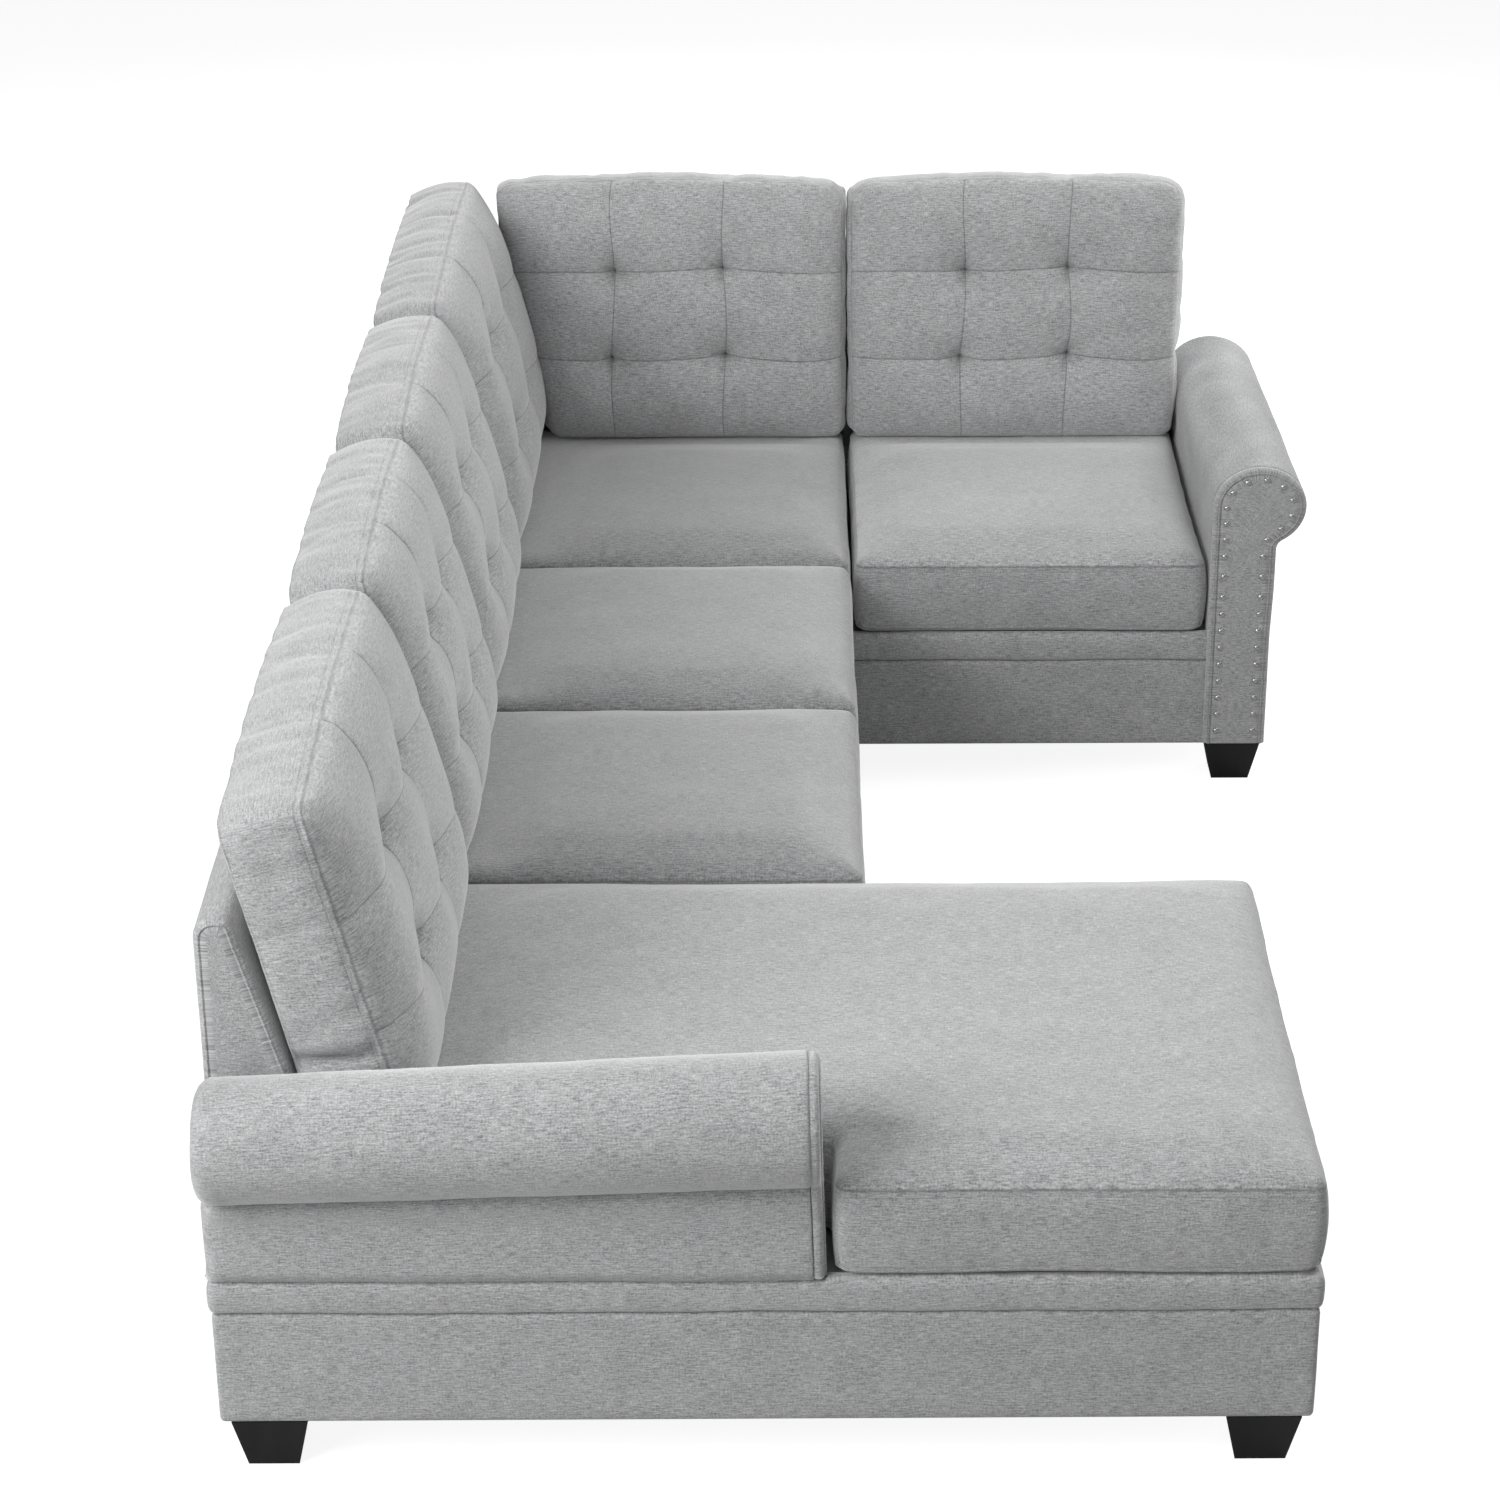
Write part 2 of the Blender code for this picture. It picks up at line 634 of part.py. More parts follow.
def corner_back(section):
    """The return's two backs, mitred at the corner, and the angled frame inside them both."""
    side = back_cover(
        "return_side_back_cover",
        section,
        RETURN_DEPTH,
        (RETURN_DEPTH, 0),
        ALONG_MINUS_X,
        mitred_start=True,
    )
    far = back_cover(
        "return_far_back_cover",
        section,
        SEAT_DEPTH + END_SEAT_WIDTH - GAP,
        (RETURN_DEPTH, GAP - SEAT_DEPTH - END_SEAT_WIDTH),
        ALONG_Y,
        mitred_end=True,
    )
    near = COVER_THICKNESS + GAP
    deep = near + BOARD_THICKNESS
    left = COVER_THICKNESS
    front = COVER_THICKNESS - SEAT_DEPTH - END_SEAT_WIDTH
    angle = [
        (left, -near),
        (RETURN_DEPTH - near, -near),
        (RETURN_DEPTH - near, front),
        (RETURN_DEPTH - deep, front),
        (RETURN_DEPTH - deep, -deep),
        (left, -deep),
    ]
    frame = slab("return_back_frame", [angle], BACK_BOARD_RISE)
    link(frame, TIMBER, section, (0, 0, FRAME_TOP + GAP))
    low = FRAME_TOP + GAP + BOARD_STILE
    high = FRAME_TOP + GAP + BACK_BOARD_RISE - BOARD_STILE
    windows = (
        (left + BOARD_STILE, RETURN_DEPTH - deep - BOARD_STILE, -deep - GAP, GAP - near),
        (
            RETURN_DEPTH - deep - GAP,
            RETURN_DEPTH - near + GAP,
            BOARD_STILE - SEAT_DEPTH,
            -deep - BOARD_STILE,
        ),
        (
            RETURN_DEPTH - deep - GAP,
            RETURN_DEPTH - near + GAP,
            front + BOARD_STILE,
            -SEAT_DEPTH - BOARD_STILE,
        ),
    )
    for x_low, x_high, y_low, y_high in windows:
        cut_box(frame, section, (x_low, y_low, low), (x_high, y_high, high))
    slot_low = BASE_TOP - CUT_OVERRUN
    slot_high = FRAME_TOP + BACK_BOARD_RISE + 2 * GAP
    for cover in (side, far):
        cut_box(
            cover,
            section,
            (left - GAP, -deep - GAP, slot_low),
            (RETURN_DEPTH - near + GAP, GAP - near, slot_high),
        )
        cut_box(
            cover,
            section,
            (RETURN_DEPTH - deep - GAP, front - GAP, slot_low),
            (RETURN_DEPTH - near + GAP, GAP - near, slot_high),
        )


def arm_outline(side, foot):
    """Section of an arm from its foot up. X runs outwards from the seat side, times side."""
    centre = (ARM_WIDTH + ROLL_OVERHANG - ROLL_RADIUS, ROLL_TOP_RISE - ROLL_RADIUS)
    neck = -math.acos((ARM_WIDTH - centre[0]) / ROLL_RADIUS)
    roll = arc(centre, ROLL_RADIUS, math.pi, 0, ROLL_STEPS)
    underside = arc(centre, ROLL_RADIUS, 0, neck, NECK_STEPS)
    points = [(0, foot), (0, centre[1])] + roll + underside[1:] + [(ARM_WIDTH, foot)]
    return [(side * x, y) for x, y in points]


def slope_roll(arm, length, ahead):
    """Let the roll fall towards the back. Only heights change, so the post stays flat."""
    middle = (ROLL_TOP_RISE - ROLL_RADIUS) / 2
    for vert in arm.data.vertices:
        if vert.co.y > middle:
            vert.co.y -= ROLL_FALL * (1 - (vert.co.z + ahead) / length)


def arm_parts(prefix, section, length, side, corner, rotation, panel_foot, panel_at):
    """Arm cover and its front panel, along their own Z from the rear."""
    x, y = corner
    cover = slab(f"{prefix}_arm_cover", [arm_outline(side, 0)], panel_at - GAP)
    slope_roll(cover, length, 0)
    link(cover, FABRIC, section, (x, y, BASE_TOP + GAP), rotation)
    panel = slab(
        f"{prefix}_arm_front_panel",
        [arm_outline(side, panel_foot)],
        ARM_PANEL_THICKNESS,
    )
    slope_roll(panel, length, panel_at)
    bevel = panel.modifiers.new("edge", "BEVEL")
    bevel.width = ARM_PANEL_BEVEL
    bevel.segments = 1
    bevel.limit_method = "ANGLE"
    bevel.angle_limit = math.radians(60)
    ahead = (0, -panel_at) if rotation == ALONG_X else (-panel_at, 0)
    place = (x + ahead[0], y + ahead[1], BASE_TOP + GAP)
    link(panel, FABRIC, section, place, rotation)
    return cover


def chaise_arm(section):
    """The short arm on the chaise, its roll hanging over the chaise's outer side."""
    panel_at = CHAISE_ARM_LENGTH - ARM_PANEL_THICKNESS
    cover = arm_parts(
        "chaise", section, CHAISE_ARM_LENGTH, -1, (ARM_WIDTH, 0), ALONG_X, 0, panel_at
    )
    length = panel_at - 2 * COVER_THICKNESS
    outer = COVER_THICKNESS + GAP
    board(
        "chaise_arm_frame",
        section,
        ladder_outlines(length, ARM_BOARD_RISE, ARM_BOARD_WINDOW),
        (outer + BOARD_THICKNESS, -COVER_THICKNESS),
        ALONG_MINUS_X,
    )
    cut_box(
        cover,
        section,
        (outer - GAP, COVER_THICKNESS - panel_at - GAP, BASE_TOP - CUT_OVERRUN),
        (outer + BOARD_THICKNESS + GAP, GAP - COVER_THICKNESS, FRAME_TOP + ARM_BOARD_RISE + 2 * GAP),
    )


def return_arm(section):
    """The arm that ends the return, with its front panel down to the foot of the base."""
    panel_at = RETURN_DEPTH + GAP
    cover = arm_parts(
        "return",
        section,
        RETURN_DEPTH,
        1,
        (RETURN_DEPTH, ARM_WIDTH - RETURN_LENGTH),
        ALONG_MINUS_X,
        -BASE_HEIGHT - GAP,
        panel_at,
    )
    length = RETURN_DEPTH - 2 * COVER_THICKNESS
    outer = COVER_THICKNESS + GAP - RETURN_LENGTH
    board(
        "return_arm_frame",
        section,
        ladder_outlines(length, ARM_BOARD_RISE, ARM_BOARD_WINDOW),
        (COVER_THICKNESS, outer + BOARD_THICKNESS),
        ALONG_X,
    )
    cut_box(
        cover,
        section,
        (COVER_THICKNESS - GAP, outer - GAP, BASE_TOP - CUT_OVERRUN),
        (
            RETURN_DEPTH - COVER_THICKNESS + GAP,
            outer + BOARD_THICKNESS + GAP,
            FRAME_TOP + ARM_BOARD_RISE + 2 * GAP,
        ),
    )


def cut_lines(bm, axis, places):
    """Cut a mesh across one axis at each of the places."""
    normal = [0, 0, 0]
    normal[axis] = 1
    for place in places:
        point = [place * part for part in normal]
        geometry = bm.verts[:] + bm.edges[:] + bm.faces[:]
        bmesh.ops.bisect_plane(bm, geom=geometry, plane_co=point, plane_no=normal)


def dissolve_flat(bm, axis):
    """Make one face of the flat side that lies at zero on an axis."""
    faces = [f for f in bm.faces if all(abs(v.co[axis]) < WELD for v in f.verts)]
    bmesh.ops.dissolve_faces(bm, faces=faces)


def round_rise(distance, radius):
    """A quarter-round rise from zero at an edge to one at the radius."""
    share = min(max(distance / radius, 0), 1)
    return math.sqrt(1 - (1 - share) ** 2)


def seat_lines(low, high):
    """Cutting lines across a seat cushion: close together at its edges, wide in the middle."""
    edge_shares = (0.1, 0.4, 1.0)
    inner_shares = (0.25, 0.5, 0.75)
    lines = [low + SEAT_EDGE_RADIUS * share for share in edge_shares]
    inner_low = low + SEAT_EDGE_RADIUS
    inner_high = high - SEAT_EDGE_RADIUS
    lines += [inner_low + (inner_high - inner_low) * share for share in inner_shares]
    return lines + [high - SEAT_EDGE_RADIUS * share for share in reversed(edge_shares)]


def seat_box(width, depth, notch, rest_right):
    """The plain box of a seat cushion, rear edge on Y = 0. A notch leaves out its rear left.

    It is cut along the edge of the level strip that the back cushions stand on.
    """
    rear = -notch[1] if notch else 0
    bm = bmesh.new()
    bmesh.ops.create_cube(bm, size=1)
    for vert in bm.verts:
        vert.co.x = width if vert.co.x > 0 else 0
        vert.co.y = rear if vert.co.y > 0 else -depth
        vert.co.z = SEAT_BOXING if vert.co.z > 0 else 0
    if notch:
        cut_lines(bm, 0, [notch[0]])
        limit = (notch[0] - WELD, rear - WELD)
        beside = [
            f for f in bm.faces if all(v.co.x > limit[0] and v.co.y > limit[1] for v in f.verts)
        ]
        grown = bmesh.ops.extrude_face_region(bm, geom=beside)["geom"]
        moved = [part for part in grown if isinstance(part, bmesh.types.BMVert)]
        bmesh.ops.translate(bm, verts=moved, vec=(0, -rear, 0))
        bmesh.ops.delete(bm, geom=beside, context="FACES")
        cut_lines(bm, 0, seat_lines(0, notch[0])[:3] + seat_lines(notch[0], width))
        cut_lines(bm, 1, seat_lines(-depth, rear) + seat_lines(rear, 0)[3:])
    else:
        cut_lines(bm, 0, seat_lines(0, width))
        cut_lines(bm, 1, seat_lines(-depth, 0))
    cut_lines(bm, 0, [width - rest_right])
    cut_lines(bm, 1, [-SEAT_STRIP])
    cut_lines(bm, 2, [SEAT_BOXING / 2])
    dissolve_flat(bm, 2)
    return bm


def seat_top(x, y, edge, width, depth, rest_right):
    """Height of a seat cushion's top: rounded edges, level under the backs, then a crown."""
    ahead = (-SEAT_STRIP - y) / (depth - SEAT_STRIP)
    across = x / (width - rest_right)
    crown = 0
    if 0 < ahead < 1 and 0 < across < 1:
        crown = SEAT_CROWN * math.sin(math.pi * ahead) * (1 - (2 * across - 1) ** 4)
    return SEAT_BOXING + (SEAT_REST_RISE + crown) * round_rise(edge, SEAT_EDGE_RADIUS)


def round_corner(off_x, off_y, radius):
    """Distances from two sides, moved so that square rings round a corner become round ones."""
    short = (radius - off_x, radius - off_y)
    if min(short) <= 0:
        return off_x, off_y
    scale = max(short) / math.hypot(*short)
    return radius - short[0] * scale, radius - short[1] * scale


def seat_cushion(name, section, corner, width, depth, turn=0.0, notch=None, rest_right=0.0):
    """A boxed, crowned seat cushion from its rear left corner, with drawn-in sides."""
    wide, deep = notch if notch else (0, 0)
    bm = seat_box(width, depth, notch, rest_right)
    for vert in bm.verts:
        x, y, z = vert.co
        left = wide if y > WELD - deep else 0
        rear = -deep if x < wide - WELD else 0
        off_x = min(x - left, width - x)
        off_y = min(y + depth, rear - y)
        edge = min(off_x, off_y)
        if notch:
            edge = min(edge, math.hypot(max(x - wide, 0), max(-deep - y, 0)))
        if z > SEAT_BOXING - WELD:
            vert.co.z = seat_top(x, y, edge, width, depth, rest_right)
        bulge = 0 if abs(z - SEAT_BOXING / 2) < WELD else SEAT_SIDE_BULGE
        near_x = max(0, 1 - off_x / SEAT_EDGE_RADIUS)
        near_y = max(0, 1 - off_y / SEAT_EDGE_RADIUS)
        pull_x = near_x * (bulge + SEAT_SIDE_PULL * math.sin(-math.pi * y / depth))
        pull_y = near_y * (bulge + SEAT_SIDE_PULL * math.sin(math.pi * x / width))
        new_x, new_y = round_corner(off_x, off_y, SEAT_CORNER_RADIUS)
        vert.co.x = left + new_x + pull_x if off_x == x - left else width - new_x - pull_x
        vert.co.y = new_y + pull_y - depth if off_y == y + depth else rear - new_y - pull_y
    cushion = bpy.data.objects.new(name, finish_mesh(bm, name))
    return link(cushion, FABRIC, section, (*corner, BASE_TOP + GAP), (0, 0, turn))


def grid_shares(mark_shares):
    """Cutting lines across a cushion, close together at its edges and round its tufts."""
    edge_shares = [0.02, 0.07, 0.16, 0.24, 0.76, 0.86, 0.94, 0.985]
    near_share = 0.055
    all_shares = edge_shares + [sum(mark_shares) / len(mark_shares)]
    for mark in mark_shares:
        all_shares += [mark - near_share, mark, mark + near_share]
    return sorted(all_shares)


def cushion_front(across, up, width, height):
    """How far a back cushion's front stands out: its crown, less the sewn lines and tufts."""
    out = BACK_CUSHION_CROWN * math.sqrt((1 - (2 * across - 1) ** 6) * (1 - (2 * up - 1) ** 6))
    hold = min(1, 4 * out / BACK_CUSHION_CROWN)
    for column in TUFT_COLUMN_SHARES:
        off = abs(across - column) * width
        out -= hold * CHANNEL_DEPTH * max(0, 1 - off / CHANNEL_HALF_WIDTH) / 2
        for row in TUFT_ROW_SHARES:
            away = math.hypot(off, (up - row) * height) / TUFT_RADIUS
            out -= hold * TUFT_DEPTH * max(0, 1 - away)
    for row in TUFT_ROW_SHARES:
        off = abs(up - row) * height
        out -= hold * CHANNEL_DEPTH * max(0, 1 - off / CHANNEL_HALF_WIDTH) / 2
    return out


def back_cushion(name, section, width, corner, rotation, slant=0.0, flare=0.0):
    """A tufted back cushion leaning on a back. It stands on its flat lower side.

    slant draws its first side in at the foot, and flare lets its other side out at the top.
    """
    height = BACK_CUSHION_HEIGHT
    middle_share = 0.5
    bm = bmesh.new()
    bmesh.ops.create_cube(bm, size=1)
    for vert in bm.verts:
        for axis in range(3):
            vert.co[axis] = 1 if vert.co[axis] > 0 else 0
    cut_lines(bm, 0, grid_shares(TUFT_COLUMN_SHARES))
    cut_lines(bm, 2, grid_shares(TUFT_ROW_SHARES))
    cut_lines(bm, 1, [middle_share])
    dissolve_flat(bm, 1)
    for vert in bm.verts:
        across, out, up = vert.co
        x = across * width
        z = up * height
        off_x, off_z = round_corner(min(x, width - x), height - z, BACK_CUSHION_CORNER)
        x = off_x if across < middle_share else width - off_x
        z = height - off_z
        inward = BACK_CUSHION_PULL * math.sin(math.pi * up) * (1 - 2 * across)
        if abs(out - middle_share) > WELD:
            x += BACK_CUSHION_BULGE * (1 - 2 * across)
        x += inward
        z += (math.sin(math.pi * across) - 1) * BACK_CUSHION_TOP_CROWN * up
        depth = out * BACK_CUSHION_BOXING
        if out > 1 - WELD:
            depth += cushion_front(across, up, width, height)
        lowest = -depth * math.tan(CUSHION_LEAN)
        z = lowest + (z / height) * (height - lowest)
        x += slant * (1 - across) * (1 - up) + flare * across * up
        vert.co = (x, -depth, z)
    cushion = bpy.data.objects.new(name, finish_mesh(bm, name))
    x, y = corner
    return link(cushion, FABRIC, section, (x, y, SEAT_REST_Z + GAP), rotation)


def connector(prefix, holder, taker, tongue_x, toward, y):
    """A steel tongue under one section and the jaw that takes it under the next."""
    plate_z = LEG_HEIGHT - GAP
    tail = tongue_x - toward * (TONGUE_LENGTH - TONGUE_REACH)
    tip = tongue_x + toward * TONGUE_REACH
    half = TONGUE_WIDTH / 2
    name = f"{prefix}_tongue"
    mesh = box_mesh(
        name,
        (min(tail, tip), y - half, plate_z - TONGUE_THICKNESS),
        (max(tail, tip), y + half, plate_z),
    )
    link(bpy.data.objects.new(name, mesh), ZINC, holder, (0, 0, 0))
    inner = half + JAW_CLEARANCE
    outer = inner + JAW_WALL
    wide = outer + JAW_FLANGE
    low = -TONGUE_THICKNESS - JAW_CLEARANCE
    outline = [
        (-wide, 0),
        (-inner, 0),
        (-inner, low),
        (inner, low),
        (inner, 0),
        (wide, 0),
        (wide, -JAW_WALL),
        (outer, -JAW_WALL),
        (outer, low - JAW_WALL),
        (-outer, low - JAW_WALL),
        (-outer, -JAW_WALL),
        (-wide, -JAW_WALL),
    ]
    jaw = slab(f"{prefix}_jaw", [outline], JAW_LENGTH)
    at = 0 if toward > 0 else MIDDLE_WIDTH - SECTION_GAP
    start = at + toward * (TONGUE_REACH - JAW_LENGTH) / 2
    origin = start + (JAW_LENGTH if toward > 0 else 0)
    link(jaw, ZINC, taker, (origin, y, plate_z), ALONG_MINUS_X)


def base(prefix, section, width, depth, rails_x, rails_y, end_inset=LEG_END_INSET):
    """The pieces that every section's base has."""
    centres = leg_centres(width, depth, end_inset)
    base_frame(f"{prefix}_base_frame", section, width, depth, rails_x, rails_y, centres)
    base_cover(f"{prefix}_base_cover", section, width, depth)
    dust_cover(f"{prefix}_dust_cover", section, width, depth, centres)
    legs(prefix, section, centres, LEG)


def chaise(section):
    """The long chaise with a short rolled arm on its outer side."""
    width = CHAISE_WIDTH - SECTION_GAP
    depth = CHAISE_DEPTH
    back = BACK_BASE_THICKNESS
    base("chaise", section, width, depth, [], [-back, -(back + depth) / 2])
    straight_back("chaise", section, ARM_WIDTH + GAP, width)
    chaise_arm(section)
    rail_inner = COVER_THICKNESS + GAP + RAIL_THICKNESS
    rear = back + RAIL_THICKNESS / 2
    spring_bank(
        "chaise_springs",
        section,
        (rail_inner - SPRING_BEARING, rail_inner - depth),
        width - 2 * (rail_inner - SPRING_BEARING),
        depth - rail_inner - rear,
    )
    edge = COVER_THICKNESS + GAP
    beside_arm = edge + BOARD_THICKNESS + GAP
    arm_front = -CHAISE_ARM_LENGTH
    deck(
        "chaise_deck",
        section,
        [
            (edge, edge - depth),
            (width - edge, edge - depth),
            (width - edge, -back),
            (beside_arm, -back),
            (beside_arm, arm_front),
            (edge, arm_front),
        ],
    )
    inside = ARM_WIDTH + CUSHION_GAP
    rear_y = -back - CUSHION_GAP
    seat_cushion(
        "chaise_seat_cushion",
        section,
        (0, rear_y),
        width - CUSHION_GAP / 2,
        depth + rear_y,
        notch=(inside, CHAISE_ARM_LENGTH + ARM_CLEARANCE + rear_y),
    )
    cushion_width = width - CUSHION_GAP / 2 - inside
    back_cushion(
        "chaise_back_cushion", section, cushion_width, (inside, CUSHION_BACK_Y), LEAN_BACK
    )


def middle(section):
    """The armless two-seat section."""
    width = MIDDLE_WIDTH - SECTION_GAP
    depth = SEAT_DEPTH
    back = BACK_BASE_THICKNESS
    base("middle", section, width, depth, [width / 2], [-back])
    straight_back("middle", section, 0, width)
    rail_inner = COVER_THICKNESS + GAP + RAIL_THICKNESS
    rear = back + RAIL_THICKNESS / 2
    spring_bank(
        "middle_springs",
        section,
        (rail_inner, SPRING_BEARING - rear),
        depth - rear - rail_inner + 2 * SPRING_BEARING,
        width - 2 * rail_inner,
        along_y=True,
    )
    edge = COVER_THICKNESS + GAP
    deck("middle_deck", section, rectangle(edge, width - edge, edge - depth, -back))
    for number in range(MIDDLE_SEATS):
        left = number * MIDDLE_SEAT_WIDTH + CUSHION_GAP / 2
        right = min((number + 1) * MIDDLE_SEAT_WIDTH, width) - CUSHION_GAP / 2
        seat_cushion(
            f"middle_seat_cushion_{number + 1}",
            section,
            (left, -back - CUSHION_GAP),
            right - left,
            depth - back - CUSHION_GAP,
        )
        back_cushion(
            f"middle_back_cushion_{number + 1}",
            section,
            right - left,
            (left, CUSHION_BACK_Y),
            LEAN_BACK,
        )


def corner_return(section):
    """The corner seat, the end seat and the arm that closes the U."""
    width = RETURN_DEPTH
    depth = RETURN_LENGTH
    back = BACK_BASE_THICKNESS
    rails_y = [-back, -SEAT_DEPTH]
    base("return", section, width, depth, [width - back], rails_y, RETURN_LEG_END_INSET)
    corner_back(section)
    return_arm(section)
    rail_inner = COVER_THICKNESS + GAP + RAIL_THICKNESS
    rear = back + RAIL_THICKNESS / 2
    spring_bank(
        "return_springs",
        section,
        (rail_inner - SPRING_BEARING, rail_inner - depth),
        width - rear - rail_inner + 2 * SPRING_BEARING,
        depth - rail_inner - rear,
    )
    edge = COVER_THICKNESS + GAP
    arm_board = edge + BOARD_THICKNESS + GAP
    deck("return_deck", section, rectangle(edge, width - back, arm_board - depth, -back))
    seat_width = width - back - CUSHION_GAP
    left = CUSHION_GAP / 2
    seat_cushion(
        "corner_seat_cushion",
        section,
        (left, -back - CUSHION_GAP),
        seat_width - left,
        SEAT_DEPTH - back - 3 * left,
        rest_right=SEAT_STRIP,
    )
    seat_cushion(
        "end_seat_cushion",
        section,
        (seat_width, -SEAT_DEPTH - left),
        END_SEAT_WIDTH - CUSHION_GAP,
        seat_width,
        turn=FACING_LEFT,
    )
    back_cushion(
        "corner_side_back_cushion",
        section,
        CUSHION_BACK_X - left,
        (left, CUSHION_BACK_Y),
        LEAN_BACK,
        flare=CORNER_CUSHION_FLARE,
    )
    near = BACK_FACE_AT_REST + BACK_CUSHION_DEPTH + CORNER_CUSHION_SETBACK
    wide = SEAT_DEPTH - CUSHION_GAP / 2 - near + CORNER_CUSHION_SLANT
    back_cushion(
        "corner_far_back_cushion",
        section,
        wide,
        (CUSHION_BACK_X, CORNER_CUSHION_SLANT - near),
        LEAN_RIGHT,
        slant=CORNER_CUSHION_SLANT,
    )
    back_cushion(
        "end_back_cushion",
        section,
        END_SEAT_WIDTH - CUSHION_GAP,
        (CUSHION_BACK_X, -SEAT_DEPTH - CUSHION_GAP / 2),
        LEAN_RIGHT,
        flare=END_CUSHION_FLARE,
    )


LEG = leg_mesh()
CHAISE = section_origin("chaise_section", CHAISE_X)
MIDDLE = section_origin("middle_section", MIDDLE_X)
RETURN = section_origin("return_section", RETURN_X)
chaise(CHAISE)
middle(MIDDLE)
corner_return(RETURN)
for place, setback in (
    ("rear", CONNECTOR_SETBACK_REAR),
    ("front", SEAT_DEPTH - CONNECTOR_SETBACK_FRONT),
):
    connector(f"chaise_{place}", CHAISE, MIDDLE, CHAISE_WIDTH, 1, -setback)
    connector(f"return_{place}", RETURN, MIDDLE, 0, -1, -setback)
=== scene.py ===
"""The looks of a U-shaped sectional sofa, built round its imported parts.

Metres, +Z up: the long back runs along X on the +Y side, with the chaise at the -X end and the
return at the +X end.
"""

import json
import math

import bmesh
import bpy
import numpy as np
from mathutils import Matrix, Vector, noise


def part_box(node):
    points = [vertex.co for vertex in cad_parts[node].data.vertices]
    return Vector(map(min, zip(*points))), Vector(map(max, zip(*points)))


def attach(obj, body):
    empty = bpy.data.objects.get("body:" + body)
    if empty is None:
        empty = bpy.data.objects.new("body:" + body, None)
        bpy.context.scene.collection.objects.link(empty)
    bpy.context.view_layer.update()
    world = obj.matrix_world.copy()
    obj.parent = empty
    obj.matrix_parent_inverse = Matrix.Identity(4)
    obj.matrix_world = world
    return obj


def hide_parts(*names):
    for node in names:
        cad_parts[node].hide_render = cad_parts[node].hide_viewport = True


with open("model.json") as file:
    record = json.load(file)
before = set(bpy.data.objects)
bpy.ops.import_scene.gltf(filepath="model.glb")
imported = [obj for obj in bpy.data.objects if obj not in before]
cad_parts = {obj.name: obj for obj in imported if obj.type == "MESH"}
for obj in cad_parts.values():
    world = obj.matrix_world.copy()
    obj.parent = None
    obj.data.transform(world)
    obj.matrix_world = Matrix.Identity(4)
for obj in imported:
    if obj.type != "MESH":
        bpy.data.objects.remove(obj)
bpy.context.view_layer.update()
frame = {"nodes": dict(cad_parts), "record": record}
SCENE = bpy.context.scene

# Camera, fitted to the photograph's straight edges, with angles in radians
CAMERA_PLACE = (-5.9140, 0.0910, 3.148)
CAMERA_YAW = -0.007
CAMERA_PITCH = 0.435
CAMERA_ROLL = -0.001
FOCAL_PIXELS = 3717.617
CENTRE_PIXEL = (808.77, 743.872)
PHOTO_SIDE = 1500
SENSOR = 36.0

# Sizes that the parts were made with, in metres
REAR_Y = 0.895
CHAISE_X = -1.579
MIDDLE_X = -0.649
RETURN_X = 0.671
GAP = 0.0003
BASE_BOTTOM = 0.083
BASE_SEAM = 0.262
BASE_TOP = 0.318
SEAT_LEVEL = BASE_TOP + GAP
COVER_THICKNESS = 0.020
SEAT_BOXING = 0.136
SEAT_REST_RISE = 0.020
SEAT_CROWN = 0.022
SEAT_STRIP = 0.1293
SEAT_DEPTH = 0.934
END_SEAT_WIDTH = 0.684
RETURN_DEPTH = 0.96
ARM_WIDTH = 0.12
CHAISE_ARM_LENGTH = 0.857
ARM_CLEARANCE = 0.008
BACK_RISE = 0.50
BACK_TOP_THICKNESS = 0.050
BACK_BASE_THICKNESS = 0.1953
CUSHION_LEAN = math.radians(14.0)
REST_Z = 0.4746
CUSHION_BACK = 0.1513
CUSHION_HEIGHT = 0.507
CUSHION_BOXING = 0.125
CUSHION_CROWN = 0.046
CORNER_NEAR = 0.3286
CORNER_SLANT = 0.125
CORNER_FLARE = 0.055
END_FLARE = 0.020
ROLL_RADIUS = 0.086
ROLL_OVERHANG = 0.052
ROLL_TOP_RISE = {"chaise": 0.334, "return": 0.344}
ROLL_FALL = {"chaise": 0.041, "return": 0.060}
ROLL_GROWTH = {"chaise": (0.02, 0.12), "return": (-0.06, -0.08)}
PANEL_THICKNESS = 0.016
TUFT_COLUMNS = (0.34, 0.66)
TUFT_ROWS = (0.32, 0.65)

# How the cloth work is spread over the meshes
SEAT_STEP = 0.016
BACK_STEP = 0.012
STITCH_OFFSET = 0.009
EDGE_MARKS = (0.0045, STITCH_OFFSET, 0.018, 0.030)
TUFT_MARKS = (-0.010, -0.004, 0, 0.004, 0.010)
FAR_FROM_SEAM = 0.05
SIM_FRAMES = 20
CLOTH = {
    "quality": 4, "mass": 0.35, "tension_stiffness": 18, "compression_stiffness": 12,
    "shear_stiffness": 6, "bending_stiffness": 1.2, "air_damping": 2, "use_pressure": True,
    "uniform_pressure_force": 4.0, "vertex_group_mass": "hold", "pin_stiffness": 1.0,
}
QUARTER_TURN = Matrix.Rotation(math.radians(-90), 4, "Z")
EPS = 1e-6

